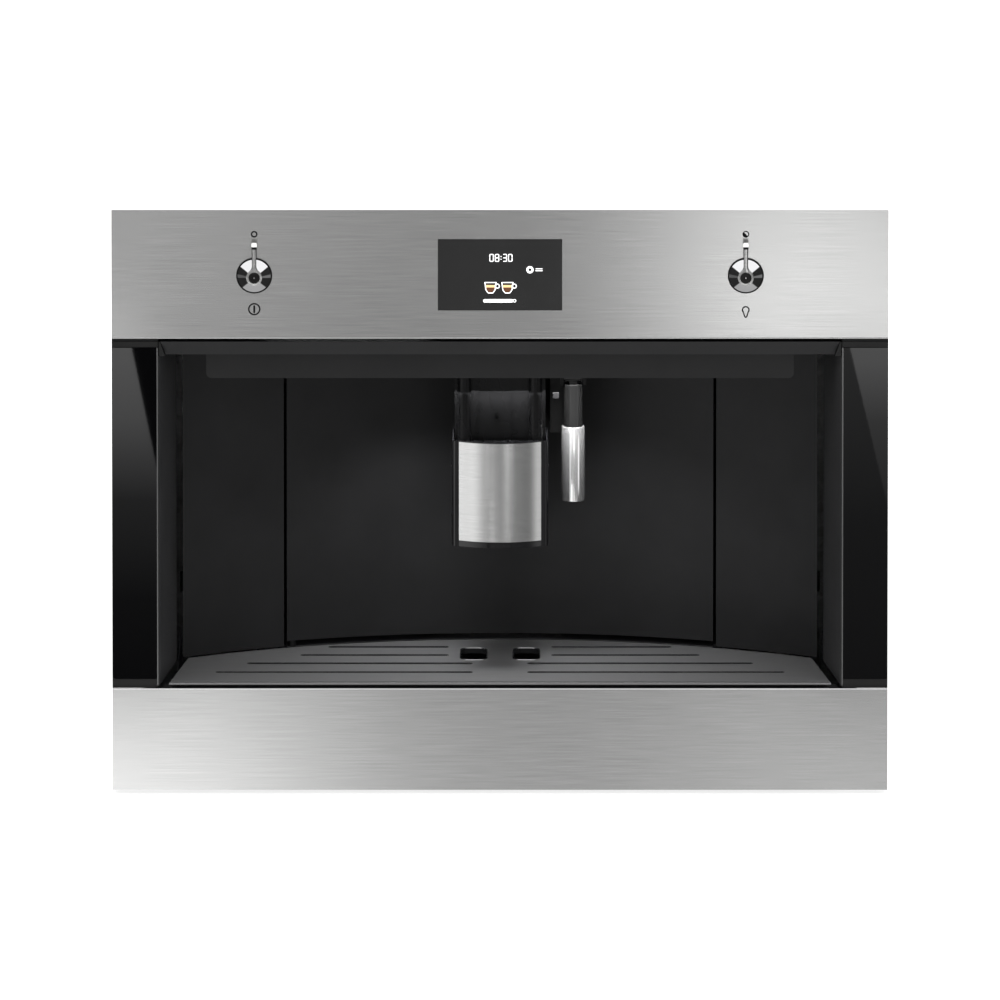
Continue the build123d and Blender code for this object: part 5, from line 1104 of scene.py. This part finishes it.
def studio_world():
    """The surroundings: white for the camera, even for diffuse light, and an uneven room in reflections.

    The mirrored room is a dark studio with a low ring of panels that changes with the compass
    direction, a white ceiling, a white floor close in front, a grey floor and a white wall behind.
    """
    world = bpy.data.worlds.new("studio")
    world.use_nodes = True
    world.node_tree.nodes.clear()
    tree = Nodes(world.node_tree)
    full = 2.0

    def greys(factor, stops):
        """A ramp of greys from (place, brightness) stops, as shares of the full brightness."""
        return tree.shades(factor, [(position, (value / full,) * 3) for position, value in stops])

    def mixed(share, first, second):
        """Two colours mixed; the node's sockets are taken by number, as several share a name."""
        made = tree.node("ShaderNodeMix", data_type="RGBA")
        tree.link(share, made.inputs[0])
        tree.link(first, made.inputs[6])
        tree.link(second, made.inputs[7])
        return made.outputs[2]

    split = tree.node("ShaderNodeSeparateXYZ")
    tree.link(tree.node("ShaderNodeTexCoord").outputs["Generated"], split.inputs["Vector"])
    ahead = tree.node("ShaderNodeMath", operation="MULTIPLY")
    ahead.inputs[1].default_value = -1.0
    tree.link(split.outputs["Y"], ahead.inputs[0])
    compass = tree.node("ShaderNodeMath", operation="ARCTAN2")
    tree.link(split.outputs["X"], compass.inputs[0])
    tree.link(ahead.outputs[0], compass.inputs[1])
    turn = tree.spread(compass.outputs[0], 0.0, 1.0, -np.pi, np.pi)
    rise = tree.spread(split.outputs["Z"], 0.0, 1.0, -1.0, 1.0)

    def round_about(stops):
        """Greys by compass direction in degrees, 0 in front of the machine."""
        return greys(turn, [(degrees / 360 + 0.5, value) for degrees, value in stops])

    def up_and_down(stops):
        """Greys by height, from -1 straight down to 1 straight up."""
        return greys(rise, [((height + 1) / 2, value) for height, value in stops])

    panels = round_about(
        [(-180, 0.4), (-156, 0.4), (-125, 0.35), (-108, 0.12), (-92, 0.3), (-83, 0.9), (-80, 0.12)]
        + [(-71, 0.1), (-68, 1.45), (-55, 1.4), (-45, 1.25), (-34, 0.9), (-24, 0.5), (-12, 0.3)]
        + [(0, 0.28), (15, 0.24), (30, 0.2), (40, 0.18), (47, 0.3), (57, 0.95), (67, 0.95)]
        + [(70, 0.15), (80, 0.2), (94, 0.04), (109, 0.07), (129, 0.3), (161, 0.03), (180, 0.4)]
    )
    dark, lit = 0.025, full
    floor, ceiling = [(-1.0, 0.45), (-0.81, 0.45)], [(0.42, 1.1), (1.0, 1.1)]
    beside = mixed(
        up_and_down([(-0.31, 0.0), (-0.28, lit), (-0.11, lit), (-0.08, 0.0)]),
        up_and_down([*floor, (-0.78, dark), (0.38, dark), *ceiling]),
        panels,
    )
    in_front = mixed(
        up_and_down([(-0.38, 0.0), (-0.34, lit), (0.38, lit), (0.42, 0.0)]),
        up_and_down([*floor, (-0.78, 1.2), (-0.3, 1.2), (0.38, 0.4), *ceiling]),
        panels,
    )
    behind = up_and_down([*floor, (-0.78, dark), (-0.3, dark), (-0.1, 0.4), (0.05, 1.7), (1.0, 1.7)])
    room = mixed(
        round_about([(-165, lit), (-150, 0.0), (150, 0.0), (165, lit)]),
        mixed(round_about([(-50, 0.0), (-40, lit), (40, lit), (50, 0.0)]), beside, in_front),
        behind,
    )
    mirrored, even, seen = (tree.node("ShaderNodeBackground") for _ in range(3))
    tree.link(room, mirrored.inputs["Color"])
    mirrored.inputs["Strength"].default_value = full
    even.inputs["Color"].default_value = (1.0, 1.0, 1.0, 1.0)
    even.inputs["Strength"].default_value = 0.75
    seen.inputs["Color"].default_value = (1.0, 1.0, 1.0, 1.0)
    path = tree.node("ShaderNodeLightPath")
    reflected, final = (tree.node("ShaderNodeMixShader") for _ in range(2))
    tree.link(path.outputs["Is Glossy Ray"], reflected.inputs["Fac"])
    tree.link(even.outputs["Background"], reflected.inputs[1])
    tree.link(mirrored.outputs["Background"], reflected.inputs[2])
    tree.link(path.outputs["Is Camera Ray"], final.inputs["Fac"])
    tree.link(reflected.outputs["Shader"], final.inputs[1])
    tree.link(seen.outputs["Background"], final.inputs[2])
    tree.link(final.outputs["Shader"], tree.node("ShaderNodeOutputWorld").inputs["Surface"])
    return world


class COFFEE_OT_stage(CoffeeMachineOperator, Operator):
    """Set up the pale floor, the soft studio lights, the surroundings and the camera"""

    bl_idname = "coffee.stage"
    bl_label = "Stage"

    def execute(self, context):
        scene = context.scene
        reach, level, tone = 30.0, cad_low.z - 0.5 * mm, (0.6, 0.6, 0.6)
        corners = [(x, y, level) for x, y in rectangle(-reach, reach, -reach, reach)]
        floor_mesh = bpy.data.meshes.new("studio_floor")
        floor_mesh.from_pydata(corners, [], [(0, 1, 2, 3)])
        pale = Finish("pale floor", tone, roughness=0.9)
        pale.tint(tone, pale.noise(pale.place((2.0, 2.0, 2.0))), 0.99, 1.01)
        pale.set("Emission Color", (1.0, 1.0, 1.0, 1.0))
        pale.set("Emission Strength", 0.75)
        floor_mesh.materials.append(pale.material)
        floor = bpy.data.objects.new("studio_floor", floor_mesh)
        scene.collection.objects.link(floor)
        floor.visible_glossy = False
        scene.world = studio_world()

        # Each light's place, target, width, height and watts.
        middle = (0.0, front_y, 0.23)
        area_light("overhead_softbox", (0.0, -0.9, 2.1), (0.0, -0.1, 0.0), 2.4, 1.6, 26.0)
        area_light("left_softbox", (-2.2, -1.6, 0.9), middle, 1.0, 1.8, 14.0)
        area_light("right_softbox", (2.0, -2.0, 0.8), middle, 1.2, 1.6, 12.0)
        area_light("rear_softbox", (0.6, 2.4, 1.7), (0.0, 0.0, 0.2), 2.2, 1.4, 20.0)
        lamp_y = front_y + 92 * mm
        lamp = area_light("niche_glow", (0.0, lamp_y, 0.3), (0.0, lamp_y + 5 * mm, 0.08), 0.16, 0.03, 0.72)
        lamp.data.spread = np.radians(110)

        camera_data = bpy.data.cameras.new("camera")
        camera_data.sensor_width = sensor_width
        camera_data.lens = camera_lens
        camera_data.clip_start, camera_data.clip_end = 0.1, 80.0
        camera = bpy.data.objects.new("camera", camera_data)
        camera.location = camera_place
        camera.rotation_mode = "QUATERNION"
        camera.rotation_quaternion = (-camera_back).to_track_quat("-Z", "Y")
        scene.collection.objects.link(camera)
        scene.camera = camera
        scene.view_settings.view_transform = "Standard"
        return {"FINISHED"}


# ---------------------------------------------------------------- panel and registration
operators = (
    COFFEE_OT_finishes,
    COFFEE_OT_levers,
    COFFEE_OT_display,
    COFFEE_OT_marks,
    COFFEE_OT_wand,
    COFFEE_OT_edges,
    COFFEE_OT_tray,
    COFFEE_OT_cards,
    COFFEE_OT_stage,
)


class COFFEE_PT_pieces(Panel):
    """Lists the machine's pieces and their settings in the sidebar"""

    bl_label = "Coffee machine"
    bl_idname = "COFFEE_PT_pieces"
    bl_space_type = "VIEW_3D"
    bl_region_type = "UI"
    bl_category = "Coffee machine"

    def draw(self, context):
        for operator in operators:
            self.layout.operator(operator.bl_idname)
        for group in (context.scene.coffee_sizes, context.scene.coffee_colours):
            for name in group.__annotations__:
                self.layout.prop(group, name)


classes = (CoffeeMachineSizes, CoffeeMachineColours, *operators, COFFEE_PT_pieces)


def register():
    """Register the classes and hang the settings on the scene."""
    for entry in classes:
        bpy.utils.register_class(entry)
    bpy.types.Scene.coffee_sizes = PointerProperty(type=CoffeeMachineSizes)
    bpy.types.Scene.coffee_colours = PointerProperty(type=CoffeeMachineColours)


def unregister():
    """Take the settings and the classes away again."""
    del bpy.types.Scene.coffee_colours
    del bpy.types.Scene.coffee_sizes
    for entry in reversed(classes):
        bpy.utils.unregister_class(entry)


def main():
    register()
    bpy.ops.coffee.finishes()
    bpy.ops.coffee.levers()
    bpy.ops.coffee.display()
    bpy.ops.coffee.marks()
    bpy.ops.coffee.wand()
    bpy.ops.coffee.edges()
    bpy.ops.coffee.tray()
    bpy.ops.coffee.cards()
    bpy.ops.coffee.stage()


if __name__ == "__main__":
    main()
